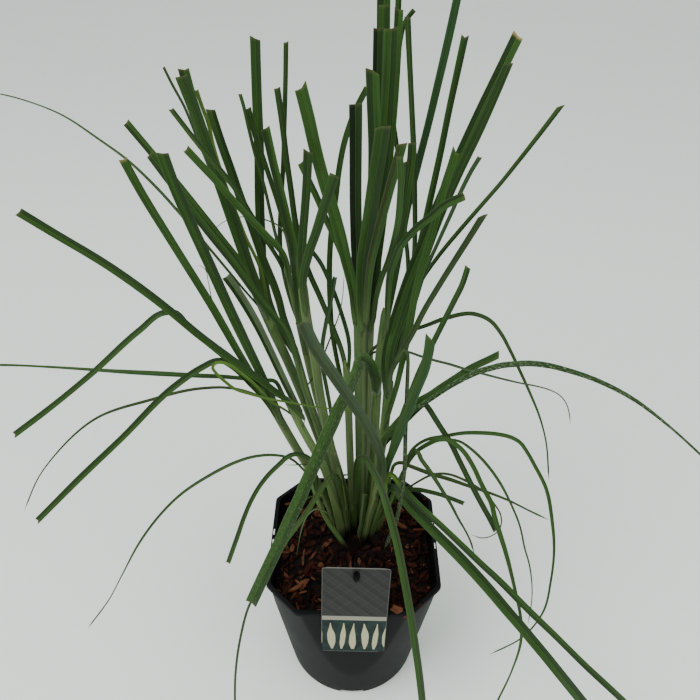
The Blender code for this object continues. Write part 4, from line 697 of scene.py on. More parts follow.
# %% Slide them apart
SLIDE_ROOM = 0.0020         # kept between strokes that cross
SLIDE_ROUNDS = 700
SLIDE_SHARE = 0.6           # of the missing room, made up in one round
SLIDE_DONE = 0.0002         # room that may still be missing at the end
EASING = 5                  # how often each round's moves are evened out along the strokes
REACH_PX = 3.0              # how far a sample stands for its stroke along the stroke
STEEPEST = 0.004            # metres in depth for each pixel, where strokes are compared


def slide_apart(strokes):
    """Slide crossing strokes along their sight lines until each has room."""
    set_roots(strokes)
    starts = np.concatenate([[0], np.cumsum([len(s.spots) for s in strokes])])
    a, b, side = close_pairs(strokes, starts)
    spots, half, depth, heading, pace, far = (
        np.concatenate([getattr(s, rows) for s in strokes])
        for rows in ("spots", "half_px", "half_depth", "heading", "pace", "far"))
    index = np.arange(len(far))
    before = np.where(np.isin(index, starts[:-1]), index, index - 1)
    after = np.where(np.isin(index, starts[1:] - 1), index, index + 1)
    middle = spots[a] + (spots[b] - spots[a]) * (half[a] / (half[a] + half[b]))[:, None]
    reach_a, reach_b = (
        np.sum((middle - spots[k]) * heading[k], axis=1).clip(-REACH_PX, REACH_PX)
        for k in (a, b))
    need = depth[a] + depth[b] + SLIDE_ROOM
    for step in range(SLIDE_ROUNDS):
        slope = (far[after] - far[before]) / ((after - before) * pace)
        slope = np.clip(slope, -STEEPEST, STEEPEST)
        between = (far[a] + slope[a] * reach_a) - (far[b] + slope[b] * reach_b)
        short = np.clip(need - side * between, 0, None)
        if short.max() < SLIDE_DONE:
            break
        move = np.zeros(len(far))
        weight = np.full(len(far), 1e-9)
        np.add.at(move, a, side * short * short)
        np.add.at(move, b, -side * short * short)
        np.add.at(weight, a, short)
        np.add.at(weight, b, short)
        move = move / weight * SLIDE_SHARE
        for _ in range(EASING):
            move = 0.5 * move + 0.25 * (move[before] + move[after])
        far = far + move
    print("slid apart in", step + 1, "rounds, worst left", round(short.max() * 1000, 2), "mm")
    for i, stroke in enumerate(strokes):
        stroke.far = far[starts[i]:starts[i + 1]]
    for stroke in narrow:
        hold_root(stroke)


slide_apart(shoots + leaves + narrow)

# %% [markdown]
# ## Gathering a piece
# Every piece is points and faces. Primitives and modifiers could make some of them, but a blade
# or a sleeve is easier to say as rings of points, one after another. A few numbers are kept at
# each point for its finish to read, such as how far across and along a leaf it is.

# %% Forms
class Form:
    """Points and faces gathered for one piece, with numbers kept at each point."""

    def __init__(self):
        self.points = []
        self.faces = []
        self.numbers = {}
        self.count = 0

    def add(self, points, faces, **numbers):
        self.points.append(np.asarray(points, float).reshape(-1, 3))
        self.faces += [[i + self.count for i in face] for face in faces]
        self.count += len(self.points[-1])
        for key, values in numbers.items():
            self.numbers.setdefault(key, []).append(values)

    def loft(self, rings, numbers, caps=True):
        """Closed rings of equal length, one after another: an array of rings, points, xyz."""
        rows, columns = rings.shape[:2]
        faces = []
        for r in range(rows - 1):
            for c in range(columns):
                d = (c + 1) % columns
                faces.append((r * columns + c, r * columns + d,
                              (r + 1) * columns + d, (r + 1) * columns + c))
        if caps:
            faces.append(tuple(range(columns))[::-1])
            faces.append(tuple((rows - 1) * columns + c for c in range(columns)))
        spread = {}
        for key, values in numbers.items():
            values = np.asarray(values, float)
            wide = values.shape[2:]
            spread[key] = np.broadcast_to(values, (rows, columns, *wide)).reshape(-1, *wide)
        self.add(rings, faces, **spread)


# %% Solids and pieces
def solid(name, form):
    """An object with a form's points, faces and numbers, its faces looking outward."""
    data = bpy.data.meshes.new(name)
    data.from_pydata(np.concatenate(form.points).tolist(), [], form.faces)
    for key, values in form.numbers.items():
        values = np.concatenate(values)
        wide = values.ndim > 1
        layer = data.attributes.new(key, "FLOAT_VECTOR" if wide else "FLOAT", "POINT")
        layer.data.foreach_set("vector" if wide else "value", values.ravel())
    fixed = bmesh.new()
    fixed.from_mesh(data)
    bmesh.ops.recalc_face_normals(fixed, faces=fixed.faces)
    fixed.to_mesh(data)
    fixed.free()
    made = bpy.data.objects.new(name, data)
    bpy.context.scene.collection.objects.link(made)
    return made


def piece(name, form, material, stands_for=(), crease=50):
    """One piece of the render from a form: it rides with the pot and takes its finish."""
    made = solid(name, form)
    made.data.shade_smooth()
    made.data.set_sharp_from_angle(angle=math.radians(crease))
    made.data.materials.append(material)
    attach(made, "root")
    if stands_for:
        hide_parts(*stands_for)
    return made


print("ready to gather pieces")

# %% [markdown]
# ## Finishes
# Each finish is a Principled shader fed by sums of numbers: the numbers kept at the points,
# noise, and simple arithmetic. Pictures could be wrapped on instead, but sums stay sharp at any
# distance. A small class lets them be written as sums.

# %% Numbers in a shader
def operator(operation, flip=False):
    """A method that works out one sum with a Math node; flip puts the number itself last."""
    def method(self, *others):
        terms = (*others, self) if flip else (self, *others)
        node = self.finish.node("ShaderNodeMath", {"operation": operation},
                                dict(enumerate(terms)))
        return Amount(self.finish, node.outputs[0])
    return method


class Amount:
    """A number in a shader, which can be added, multiplied and so on."""

    def __init__(self, finish, socket):
        self.finish = finish
        self.socket = socket

    __add__ = __radd__ = operator("ADD")
    __sub__ = operator("SUBTRACT")
    __rsub__ = operator("SUBTRACT", flip=True)
    __mul__ = __rmul__ = operator("MULTIPLY")
    __truediv__ = operator("DIVIDE")
    __rtruediv__ = operator("DIVIDE", flip=True)
    __abs__ = operator("ABSOLUTE")
    fraction = operator("FRACT")
    sine = operator("SINE")
    most = operator("MAXIMUM")

    def rise(self, low, high):
        """0 below low, 1 above high, with an easy change between; falls where low > high."""
        node = self.finish.node("ShaderNodeMapRange", {"interpolation_type": "SMOOTHSTEP"},
                                {"Value": self, "From Min": low, "From Max": high})
        return Amount(self.finish, node.outputs[0])


def linear(red, green, blue):
    """A screen colour, 0 to 255, as the light that the shader works in."""
    shares = [c / 255 for c in (red, green, blue)]
    return tuple(c / 12.92 if c < 0.04045 else ((c + 0.055) / 1.055) ** 2.4 for c in shares)


# %% A way to write finishes
class Finish:
    """A material built round one Principled shader."""

    def __init__(self, name, shine):
        self.material = bpy.data.materials.new(name)
        self.material.use_nodes = True
        self.tree = self.material.node_tree
        self.skin = self.tree.nodes["Principled BSDF"]
        self.skin.inputs["Specular IOR Level"].default_value = shine

    def node(self, kind, settings, values):
        """Any node: its settings are set first, then the values or links of its sockets."""
        made = self.tree.nodes.new(kind)
        for key, value in settings.items():
            setattr(made, key, value)
        for key, value in values.items():
            self.feed(made.inputs[key], value)
        return made

    def feed(self, socket, value):
        if isinstance(value, Amount):
            value = value.socket
        if isinstance(value, bpy.types.NodeSocket):
            self.tree.links.new(value, socket)
        elif isinstance(value, tuple):
            socket.default_value = (*value, 1.0) if socket.type == "RGBA" else value
        else:
            socket.default_value = value

    def kept(self, name, output="Fac"):
        """A number kept at the points, or three of them with the output named Vector."""
        node = self.node("ShaderNodeAttribute", {"attribute_name": name}, {})
        return Amount(self, node.outputs[output])

    def place(self):
        return self.node("ShaderNodeTexCoord", {}, {}).outputs["Object"]

    def vector(self, x, y, z=0.0):
        return self.node("ShaderNodeCombineXYZ", {}, {0: x, 1: y, 2: z}).outputs[0]

    def parts(self, vector):
        """The x, y and z of a vector."""
        return [Amount(self, socket)
                for socket in self.node("ShaderNodeSeparateXYZ", {}, {0: vector}).outputs]

    def noise(self, where, scale, detail=3.0, roughness=0.55):
        node = self.node("ShaderNodeTexNoise", {}, {
            "Vector": where, "Scale": scale, "Detail": detail, "Roughness": roughness})
        return Amount(self, node.outputs[0])

    def mix(self, share, first, second):
        node = self.node("ShaderNodeMix", {"data_type": "RGBA"},
                         {0: share, 6: first, 7: second})
        return node.outputs[2]

    def shade(self, colour, share):
        """A colour made darker or lighter by a number."""
        node = self.node("ShaderNodeVectorMath", {"operation": "SCALE"},
                         {0: colour, "Scale": share})
        return node.outputs[0]

    def colour(self, value):
        self.feed(self.skin.inputs["Base Color"], value)

    def rough(self, value):
        self.feed(self.skin.inputs["Roughness"], value)

    def relief(self, height, distance, strength=1.0):
        node = self.node("ShaderNodeBump", {}, {
            "Height": height, "Distance": distance, "Strength": strength})
        self.feed(self.skin.inputs["Normal"], node.outputs[0])


print("finish writer ready")

# %% [markdown]
# ## Leaf blades
# A blade is a thin channel with its keel underneath. It starts inside its shoot, curved round
# it from the front or from behind, and opens within its first few centimetres. A flat strip
# would do from afar, but the light on a blade comes from its two halves. So a ring of points
# goes round the blade at every row, with a rounded keel, a groove and thin margins. Most ends
# were trimmed with shears, square or slanted, and some still taper to a natural point.

# %% The tones of the leaves
# near black, dark, middle, light and bright green; bluish, greyish, olive, yellowish, khaki, pale
TONES = {
    "N": (13, 30, 8), "D": (25, 50, 12), "M": (38, 68, 18), "L": (58, 92, 27), "B": (98, 132, 38),
    "S": (34, 64, 30), "G": (50, 68, 42), "O": (44, 56, 20), "Y": (76, 100, 32),
    "K": (38, 55, 25), "P": (74, 90, 62),
}
OWN_TONES_FROM = 0.02       # a leaf's base keeps its tones so far,
OWN_TONES_LENGTH = 0.045    # and turns to the leaf's own tones over this length


def tones_along(letters, reach):
    """The colours of a leaf's left and right halves at each row.

    Two letters are the halves, left of its line of growth and right of it. Two more are the
    halves of its base. A darker and a lighter half are partly the leaf's own colour and partly
    painted light and shade, a lit half beside a shaded one; the near black tone is partly painted
    shade as well.
    """
    left, right, left_base, right_base = [
        np.array(linear(*TONES[letter])) for letter in (letters * 2)[:4]]
    share = np.clip((reach[:, None] - OWN_TONES_FROM) / OWN_TONES_LENGTH, 0, 1)
    return left_base + (left - left_base) * share, right_base + (right - right_base) * share


print(len(TONES), "tones")

# %% Rows along a blade
ROW_SPACING = 0.0035
INNER_SAMPLES = (6, 4, 2)   # samples of its shoot, below the blade, that lead into it
INNER_WIDTH = 0.92          # width of the blade there, for the shoot's


def centre_line(stroke, shoot):
    """A stroke's points, led on from inside its shoot, and how many points that adds."""
    points = stroke.points()
    widths = stroke.width
    if stroke.kind == "leaf":
        k = shoot.nearest(stroke.spots[0])
        lead = [k - below for below in INNER_SAMPLES if k - below >= 1]
        points = np.concatenate([shoot.points()[lead], points])
        widths = np.concatenate([np.minimum(widths[0], shoot.width[lead] * INNER_WIDTH), widths])
    elif stroke.name == "stub_shoot":
        # its foot would show beside the shoot, so it starts from the shoot's own foot
        lowest = int(np.argmin(points[:, 2])) + 1
        points = np.concatenate([shoot.points()[:1], points[lowest:]])
        widths = np.concatenate([widths[:1] * 0.5, widths[lowest:]])
        return points, widths, 1
    return points, widths, len(points) - len(stroke.spots)


def rows_along(points, widths, at, wanted, turn):
    """The points and widths of a line at the wanted lengths, with three ways at each.

    The ways are along the line, across it, and out from the face that looks at the eye.
    """
    table = smooth_rows(np.column_stack([points, widths]), at, wanted)
    points = table[:, :3]
    lines = points - EYE
    lines /= np.linalg.norm(lines, axis=1)[:, None]
    along = np.gradient(points, axis=0)
    along /= np.linalg.norm(along, axis=1)[:, None]
    across = np.cross(along, lines)
    across /= np.linalg.norm(across, axis=1)[:, None]
    facing = np.cross(across, along)
    facing *= -np.sign(np.sum(facing * lines, axis=1))[:, None]
    cos, sin = math.cos(turn), math.sin(turn)
    return points, table[:, 3], along, across * cos + facing * sin, facing * cos - across * sin


def blade_rows(stroke, shoot):
    """Even rows along a blade, with the lengths from where it leaves its shoot and to its end."""
    points, widths, led = centre_line(stroke, shoot)
    at = lengths_along(points)
    wanted = np.linspace(0.0, at[-1], max(6, int(at[-1] / ROW_SPACING)))
    return *rows_along(points, widths, at, wanted, stroke.turn), wanted - at[led], at[-1] - wanted


# %% A blade's fold and end
NARROW_FOLD = math.radians(12)
FRONT_WRAP = math.radians(-46)  # fold of a blade that starts round the front of its shoot
BACK_WRAP = math.radians(40)    # the same behind it
OPEN_LENGTH = 0.030             # a blade opens from its shoot within this length


def fold_along(stroke, shoot, reach):
    """How steeply the halves of a blade rise at each row."""
    if stroke.kind == "narrow":
        return NARROW_FOLD + 0 * reach
    closed = np.clip(1 - reach / OPEN_LENGTH, 0, 1)
    in_front = stroke.far[0] < shoot.far[shoot.nearest(stroke.spots[0])]
    wrapped = FRONT_WRAP if in_front else BACK_WRAP
    return LEAF_FOLD + (wrapped - LEAF_FOLD) * closed**2


def end_shape(stroke, rng):
    """The slant and the notch of a blade's end."""
    slant, notch = rng.uniform(-0.45, 0.45), rng.uniform(0.0, 0.45)
    if "cut" in stroke.marks:
        slant, notch = [float(n) for n in stroke.marks["cut"].split("/")]
    elif "end" in stroke.marks:
        slant, notch = 0.0, 0.0
    return slant, notch


# %% Build a blade
TOP_COLUMNS = np.array((-1, -0.93, -0.76, -0.5, -0.25, -0.08, 0, 0.08, 0.25, 0.5, 0.76, 0.93, 1))
UNDER_COLUMNS = np.array((0.9, 0.5, 0.14, 0, -0.14, -0.5, -0.9))
COLUMNS = np.concatenate([TOP_COLUMNS, UNDER_COLUMNS])
IS_TOP = np.arange(len(COLUMNS)) < len(TOP_COLUMNS)
BLADE_THICKNESS = 0.00050
KEEL_THICKNESS = 0.00045
GROOVE_DEPTH = 0.00018
TALLEST_FOLD = 0.0042       # limit of the rise from the keel to the margins
HIDDEN_LENGTH = 0.010       # a blade draws in over this length inside its shoot
POINT_LENGTH = 0.012
THIN_BELOW = 0.0025         # half width under which a blade gets thinner
CUT_EASE = 0.008            # length over which a trimmed end takes its slant
WAVE_HEIGHT = 0.0004        # of the margins
WAVE_LENGTH = 0.021
FLECKS_FROM = 0.04          # from the shoot to the first flecks


def blade(form, stroke, shoot, seed):
    """Add one blade to a form."""
    rng = np.random.default_rng(seed)
    points, widths, along, across, facing, reach, left = blade_rows(stroke, shoot)
    drawn_in = np.clip(1 + reach / HIDDEN_LENGTH, 0.15, 1)
    half = widths / 2 * math.cos(LEAF_FOLD) * drawn_in
    lift = np.clip(half * np.tan(fold_along(stroke, shoot, reach)), -TALLEST_FOLD, TALLEST_FOLD)
    lift = lift * drawn_in
    if "end" in stroke.marks:
        half = half * np.clip(left / POINT_LENGTH, 0.03, 1)
    slant, notch = end_shape(stroke, rng)
    phase = rng.uniform(0, 6) + np.sign(TOP_COLUMNS)
    wave = WAVE_HEIGHT * np.sin(reach[:, None] / WAVE_LENGTH + phase)
    rise = lift[:, None] * (np.abs(COLUMNS) ** 1.2 - 0.5)
    rise[:, IS_TOP] += wave * TOP_COLUMNS**2 * np.clip(reach / 0.05, 0, 1)[:, None]
    rib = np.exp(-(COLUMNS / 0.13) ** 2)
    groove = GROOVE_DEPTH * np.exp(-(COLUMNS / 0.05) ** 2)
    thick = np.where(IS_TOP, -groove, -BLADE_THICKNESS - KEEL_THICKNESS * rib)
    thick = np.where(np.abs(COLUMNS) == 1, -BLADE_THICKNESS / 2, thick)
    thick = thick * np.minimum(1.0, half / THIN_BELOW)[:, None]
    near_end = np.clip(1 - left / CUT_EASE, 0, 1) ** 2
    cut = (slant * COLUMNS + notch * (np.abs(COLUMNS) - 0.6)) * half[:, None] * near_end[:, None]
    rings = (points[:, None] + across[:, None] * (half[:, None] * COLUMNS)[..., None]
             + facing[:, None] * (rise + thick)[..., None]
             + along[:, None] * cut[..., None])
    # The tint gives each half its tone: partly the leaf's own colour, partly painted light and
    # shade on its two halves.
    left_tone, right_tone = tones_along(stroke.tones, reach)
    side = np.clip(COLUMNS / 0.10 * 0.5 + 0.5, 0, 1)[None, :, None]
    flecked = float(stroke.marks.get("flecked", 0.0))
    form.loft(rings, {
        "across": COLUMNS,
        "reach": reach[:, None] + rng.uniform(0, 1e-4),
        "left_mm": left[:, None] * 1000,
        "half_mm": half[:, None] * 1000,
        "under": ~IS_TOP,
        "chance": rng.uniform(0, 1),
        "dry": float(stroke.marks.get("dry", 0.1)),
        "flecked": flecked * np.clip(reach[:, None] / FLECKS_FROM - 1, 0, 1),
        "tint": right_tone[:, None] + (left_tone - right_tone)[:, None] * side})


print(len(COLUMNS), "points round a blade")

# %% [markdown]
# ## The blades' finish
# Grass has fine parallel veins, a paler midline, and margins a little greyer than the rest.
# The underside is duller. Old leaves have pale dusty specks, and trimmed ends dry to tan. The
# veins follow the numbers kept across and along the blade, so they run with it round every
# bend, which noise in room coordinates would not do.

# %% Blade finish
def blade_finish():
    f = Finish("grass_blade", shine=0.22)
    across, reach, half = f.kept("across"), f.kept("reach"), f.kept("half_mm")
    left, under, chance = f.kept("left_mm"), f.kept("under"), f.kept("chance")
    mm_across = across * half
    offset = chance * 37.0
    veins = (mm_across * 10.5 + offset).sine() * 0.5 + 0.5
    fine = f.noise(f.vector(mm_across * 3.0, reach * 30.0, offset), 1.0, 2.0)
    stripe = f.noise(f.vector(mm_across * 0.95, reach * 6.0, offset + 9.0), 1.0, 1.0)
    broad = f.noise(f.vector(mm_across * 0.25, reach * 28.0, offset), 1.0, 3.0)
    specks = f.noise(f.vector(mm_across * 1.2, reach * 900.0, offset), 1.0, 2.0)
    light = 0.78 + veins * 0.22 + fine * 0.26 + (broad - 0.5) * 0.6 + (stripe - 0.5) * 1.3
    colour = f.shade(f.kept("tint", "Vector"), light)
    midline = abs(mm_across).rise(0.42, 0.14) * abs(across).rise(0.30, 0.10)
    colour = f.mix(midline * 0.22, colour, linear(110, 136, 66))
    margin = abs(across).rise(0.86, 0.97) * 0.22
    colour = f.mix(margin, colour, linear(96, 112, 70))
    colour = f.mix(under * 0.45, colour, linear(58, 76, 48))
    dusty = specks.rise(0.66, 0.74) * broad.rise(0.50, 0.62)
    colour = f.mix(dusty * 0.28, colour, linear(120, 128, 104))
    flecks = f.noise(f.vector(mm_across * 2.2, reach * 260.0, offset), 1.0, 3.0)
    colour = f.mix(flecks.rise(0.57, 0.64) * f.kept("flecked") * 0.7, colour,
                   linear(150, 164, 132))
    base = reach.rise(0.045, 0.0) * 0.6
    colour = f.mix(base, colour, f.shade(linear(60, 80, 40), 0.55 + stripe * 0.9))
    worn = (left + (fine - 0.5) * 3.0).rise(3.0, 0.6) * f.kept("dry")
    colour = f.mix(worn, colour, linear(150, 128, 84))
    f.colour(colour)
    f.rough(0.38 + fine * 0.16 + under * 0.12)
    f.relief(veins + fine * 0.6 - midline, 0.00012, 0.7)
    return f.material


BLADE_FINISH = blade_finish()
print(BLADE_FINISH.name, "has", len(BLADE_FINISH.node_tree.nodes), "nodes")

# %% Grow the blades
def grow(form, base, seed):
    """Add the narrow blades that are fused to a shoot or a leaf."""
    fused = [stroke for stroke in narrow if stroke.grows_on == base.name]
    for number, stroke in enumerate(fused):
        blade(form, stroke, base, seed + number)
    return len(fused)


for number, leaf in enumerate(leaves):
    form = Form()
    blade(form, leaf, stroke_of[leaf.grows_on], number)
    grow(form, leaf, 300)
    piece(leaf.name.replace("leaf_", "blade_"), form, BLADE_FINISH, [leaf.name])
print(len(leaves), "blades")

# %% [markdown]
# ## Shoots
# A shoot is made of leaf bases, each rolled round the younger ones inside it. Its rolled base
# ends at a collar, where the blade leaves, and the next one goes on from inside. One tapered
# tube would be simpler, but it would show no collars. So a shoot is built here as one sleeve
# for each leaf, from the collar below to its own, each with the edge of the roll as a fine step
# down its side.

# %% Where the sleeves end
COLLAR_LEAF = 0.0035        # a leaf narrower than this has no sleeve of its own
LOWEST_COLLAR = 4           # samples over the foot
TOP_ROOM = 8                # samples left under the top
COLLAR_ROOM = 3             # samples between two collars


def collars(shoot):
    """The samples of a shoot where its wider leaves leave it, lowest first."""
    found = sorted(shoot.nearest(leaf.spots[0])
                   for leaf in leaves + [s for s in narrow if s.width.max() > COLLAR_LEAF]
                   if leaf.grows_on == shoot.name)
    kept = []
    for k in found:
        if LOWEST_COLLAR < k < len(shoot.spots) - TOP_ROOM:
            if not kept or k - kept[-1] > COLLAR_ROOM:
                kept.append(k)
    return kept + [len(shoot.spots) - 1]


print("sleeves of each shoot:", [len(collars(shoot)) for shoot in shoots])

# %% Build a sleeve
SLEEVE_COLUMNS = 30
SLEEVE_ROWS = 0.003         # spacing
EDGE_STEP = 0.00040         # height of the step where a roll overlaps itself
SLEEVE_STEP = 0.030         # share of its width that each inner sleeve gives up
CROWD_REACH = 0.009         # how far off another shoot still takes light
CROWD_SHADE = 0.22
FOOT_SHARE = 0.68           # a shoot's width at the soil over its width 3 cm up
FOOT_LENGTH = 0.030
COLLAR_LENGTH = 0.006
COLLAR_DIP = 0.0055
COLLAR_FLARE = 0.00020      # how far a sleeve opens at its collar
TOP_CLOSING = 0.25          # share of its width that the last sleeve loses at its top
SLEEVE_ROOM = 0.03          # how much wider a sleeve is than its solid, as a share,
SLEEVE_DEPTH = 0.08         # and how much deeper for its width
SUNK = 0.004                # depth of the sleeves' feet in the mulch


def shoot_rows(shoot, low, high):
    """Rows along a shoot between two of its samples, each row's length and the last one's."""
    points = shoot.points()
    at = lengths_along(points)
    start, end = np.interp((low, high), np.arange(len(at)), at)
    wanted = np.linspace(start, end, max(5, int((end - start) / SLEEVE_ROWS)))
    return *rows_along(points, shoot.width, at, wanted, shoot.turn), wanted, end


def painted_light_share(points, shoot):
    """Painted shade: 1 in the open, less where other shoots stand close, as little light gets in
    there.
    """
    others = np.concatenate([s.points() for s in shoots if s is not shoot])
    away = np.linalg.norm(points[:, None] - others[None], axis=2)
    return 1 / (1 + CROWD_SHADE * np.exp(-(away / CROWD_REACH) ** 2).sum(axis=1))


def sleeve(form, shoot, low, high, shrink, edge_at, rng, last):
    """Add one rolled leaf base to a form. The last one of a shoot closes at its top."""
    points, widths, along, across, facing, at, end = shoot_rows(shoot, low, high)
    turns = np.linspace(0, 1, SLEEVE_COLUMNS)
    angles = edge_at + turns * math.tau + (at[:, None] - at[0]) * rng.uniform(-3, 3)
    up = np.clip((points[:, 2] - MULCH_TOP) / FOOT_LENGTH, 0, 1)[:, None]
    swell = (1 - shrink + SLEEVE_ROOM) * (FOOT_SHARE + (1 - FOOT_SHARE) * up * (2 - up))
    outer = widths[:, None] / 2 * swell + EDGE_STEP * (0.5 - turns)
    flare = np.clip(1 - (end - at) / COLLAR_LENGTH, 0, 1)[:, None]
    outer = outer * (1 - TOP_CLOSING * flare**2) if last else outer + COLLAR_FLARE * flare**2
    deep = outer * (SHOOT_FLATNESS + SLEEVE_DEPTH)
    dip = COLLAR_DIP * np.cos(angles - edge_at) * -flare**1.5
    rings = (points[:, None] + across[:, None] * (outer * np.cos(angles))[..., None]
             + facing[:, None] * (deep * np.sin(angles) * np.abs(np.sin(angles)) ** 0.4)[..., None]
             + along[:, None] * dip[..., None])
    rings[..., 2] = np.maximum(rings[..., 2], MULCH_TOP - SUNK)
    form.loft(rings, {
        "round_mm": turns * widths.mean() * 1000 * 2.6,
        "turn": turns,
        "height": rings[..., 2] - MULCH_TOP,
        "top_mm": (end - at)[:, None] * 1000,
        "open": painted_light_share(rings.reshape(-1, 3), shoot).reshape(rings.shape[:2]),
        "grey": float(shoot.marks.get("grey", 0.0)),
        "chance": rng.uniform(0, 1)})


print(SLEEVE_COLUMNS, "points round a sleeve")

# %% [markdown]
# ## The sleeves' finish
# The sleeves are pale grey-green with close parallel veins. Their rolled edge shows as a lighter
# line, their collar as a pale band, and the bottom centimetre or two is dead and brown. Painted
# shade darkens them where other shoots stand close and turns them nearly black near the soil.
# One finish serves every sleeve, because each of these is painted from a number kept at the
# points: the turn round the shoot, the height over the soil, the distance to the collar and the
# room round the shoot.

# %% Sleeve finish
def sleeve_finish():
    f = Finish("shoot_sleeve", shine=0.2)
    around, turn, height = f.kept("round_mm"), f.kept("turn"), f.kept("height")
    top, chance = f.kept("top_mm"), f.kept("chance")
    offset = chance * 53.0
    streak = f.noise(f.vector(around * 2.4, height * 22.0, offset), 1.0, 3.0)
    patch = f.noise(f.vector(around * 0.3, height * 30.0, offset), 1.0, 2.0)
    veins = (around * 9.0 + offset).sine() * 0.5 + 0.5
    green = f.mix(patch.rise(0.35, 0.65), linear(80, 103, 54), linear(60, 86, 42))
    green = f.mix(f.kept("grey"), green, linear(58, 78, 42))
    green = f.mix(chance.rise(0.45, 1.0) * 0.5, green, linear(98, 112, 70))
    # Painted shade: the kept open number darkens the sleeves where other shoots stand close.
    green = f.shade(green, (0.34 + streak * 1.25 + veins * 0.22) * f.kept("open"))
    split = turn - (chance * 0.4 + 0.30)
    panel = split.rise(-0.006, 0.006)
    green = f.shade(green, panel * 0.34 + 0.80)
    edge = turn.rise(0.07, 0.0).most(turn.rise(0.94, 1.0)).most(abs(split).rise(0.020, 0.004))
    green = f.mix(edge * 0.42, green, linear(124, 136, 92))
    collar = top.rise(1.8, 0.4)
    green = f.mix(collar * 0.25, green, linear(120, 130, 68))
    ragged = height + (streak - 0.5) * 0.030 + (patch - 0.5) * 0.02
    dead = ragged.rise(0.030, 0.006)
    brown = f.mix(streak.rise(0.42, 0.66), linear(20, 13, 7), linear(84, 58, 30))
    colour = f.mix(dead * 0.9, green, brown)
    # Painted shade: this mask, named soil, turns the sleeves nearly black over their lowest 3 cm,
    # for the shade low in the clump.
    soil = (height + (patch - 0.5) * 0.016).rise(0.030, 0.004)
    f.colour(f.mix(soil * 0.92, colour, linear(5, 4, 2)))
    f.rough(0.42 + streak * 0.2 + dead * 0.2)
    f.relief(veins * 0.5 + streak + dead * streak * 2.0 + panel * 1.5, 0.00025, 0.8)
    return f.material


SLEEVE_FINISH = sleeve_finish()
print(SLEEVE_FINISH.name, "has", len(SLEEVE_FINISH.node_tree.nodes), "nodes")

# %% Grow the shoots and their narrow leaves
for number, shoot in enumerate(shoots):
    rng = np.random.default_rng(700 + number)
    form = Form()
    stops = collars(shoot)
    starts = [0] + [max(0, k - 3) for k in stops[:-1]]
    for k, (low, high) in enumerate(zip(starts, stops)):
        edge_at = -math.pi / 2 + rng.uniform(-1.1, 1.1) + math.pi * (k % 2)
        sleeve(form, shoot, low, high, SLEEVE_STEP * k, edge_at + math.pi, rng,
               last=k == len(stops) - 1)
    piece(shoot.name.replace("shoot_", "sleeves_"), form, SLEEVE_FINISH,
          [shoot.name])
    form = Form()
    if grow(form, shoot, 400 + number * 20):
        piece(shoot.name.replace("shoot_", "narrow_blades_"), form, BLADE_FINISH,
              [shoot.name])
print(len(shoots), "shoots,", len(narrow), "narrow blades")

# %% [markdown]
# ## The nursery pot
# A moulded polypropylene pot: a square rim with cut corners on a round body, whose eight flats
# fade out on the way down. It could be a cube and a cone joined, but the fade between them is
# the pot's own look. So it is one loft of level rings, each the smaller of an octagon and a
# circle. The rings are those of the solid with many more points, and the corners are slightly
# eased.

# %% The pot's rings
POT_WIDTH = 0.190           # across the flat sides of the rim
CORNER_CUT = 0.0342         # length that each cut corner takes from a side
RIM_CORNER = (POT_WIDTH - CORNER_CUT) / math.sqrt(2)  # from the axis to a cut corner
POT_HEIGHT = 0.195
FOOT_RADIUS = 0.0785
SHOULDER_RADIUS = 0.108     # the body's cone, carried up to the lip
FLAT_TAPER = 0.035          # how fast the flat sides lean in, for their height
CORNER_TAPER = 0.120        # the same for the flats across the corners
WALL = 0.0018
LIP_PROUD = 0.003           # how far the lip stands out from the body
LIP_DEPTH = 0.005
LIP_UNDER = POT_HEIGHT - LIP_DEPTH
RING_POINTS = 288
ANGLES = np.arange(RING_POINTS) * math.tau / RING_POINTS


def octagon(flat, corner):
    """How far the wall stands from the axis at each angle, with the corners eased."""
    away = np.tile((flat, corner), 4)
    lean = np.cos(ANGLES[:, None] - np.arange(8) * math.pi / 4)
    reach = np.where(lean > 0.5, away / np.maximum(lean, 0.5), 1.0).min(axis=1)
    return (np.roll(reach, 1) + 2 * reach + np.roll(reach, -1)) / 4


def level(reach, z):
    """A ring at one height, so far from the axis at each angle."""
    return np.column_stack([np.cos(ANGLES) * reach, np.sin(ANGLES) * reach,
                            np.full(RING_POINTS, z)])


def circle(radius, z):
    return level(np.full(RING_POINTS, radius), z)


def rim_ring(inset, z):
    """One level of the lip, so far inside its outline."""
    return level(octagon(POT_WIDTH / 2 - inset, RIM_CORNER - inset), z)


def cone_radius(z):
    return FOOT_RADIUS + (SHOULDER_RADIUS - FOOT_RADIUS) * z / LIP_UNDER


def body_ring(z, inset=0.0):
    """One level of the body: a cone with eight flats that fade out on the way down."""
    drop = LIP_UNDER - z
    flat = POT_WIDTH / 2 - LIP_PROUD - FLAT_TAPER * drop
    corner = RIM_CORNER - LIP_PROUD - CORNER_TAPER * drop
    return level(np.minimum(octagon(flat, corner), cone_radius(z)) - inset, z)


print(RING_POINTS, "points round each ring of the pot")

# %% The pot's form
EDGE_ROUND = 0.0008
EASE = 0.0004               # the small corners under the lip and inside it
TINY = 0.001                # radius of the rings that close the floor
FLOOR_RAISE = 0.0045        # the underside between the foot ring and the middle pad
FLOOR_THICKNESS = 0.0025
FOOT_RING_INNER = 0.060
PAD_RADIUS = 0.014
WALL_FOOT = 0.006
WALL_HEAD = 0.186
WALL_STEPS = 24
WALL_LEVELS = [WALL_FOOT + (WALL_HEAD - WALL_FOOT) * i / WALL_STEPS
               for i in range(WALL_STEPS + 1)]
print(len(WALL_LEVELS), "levels up the wall")


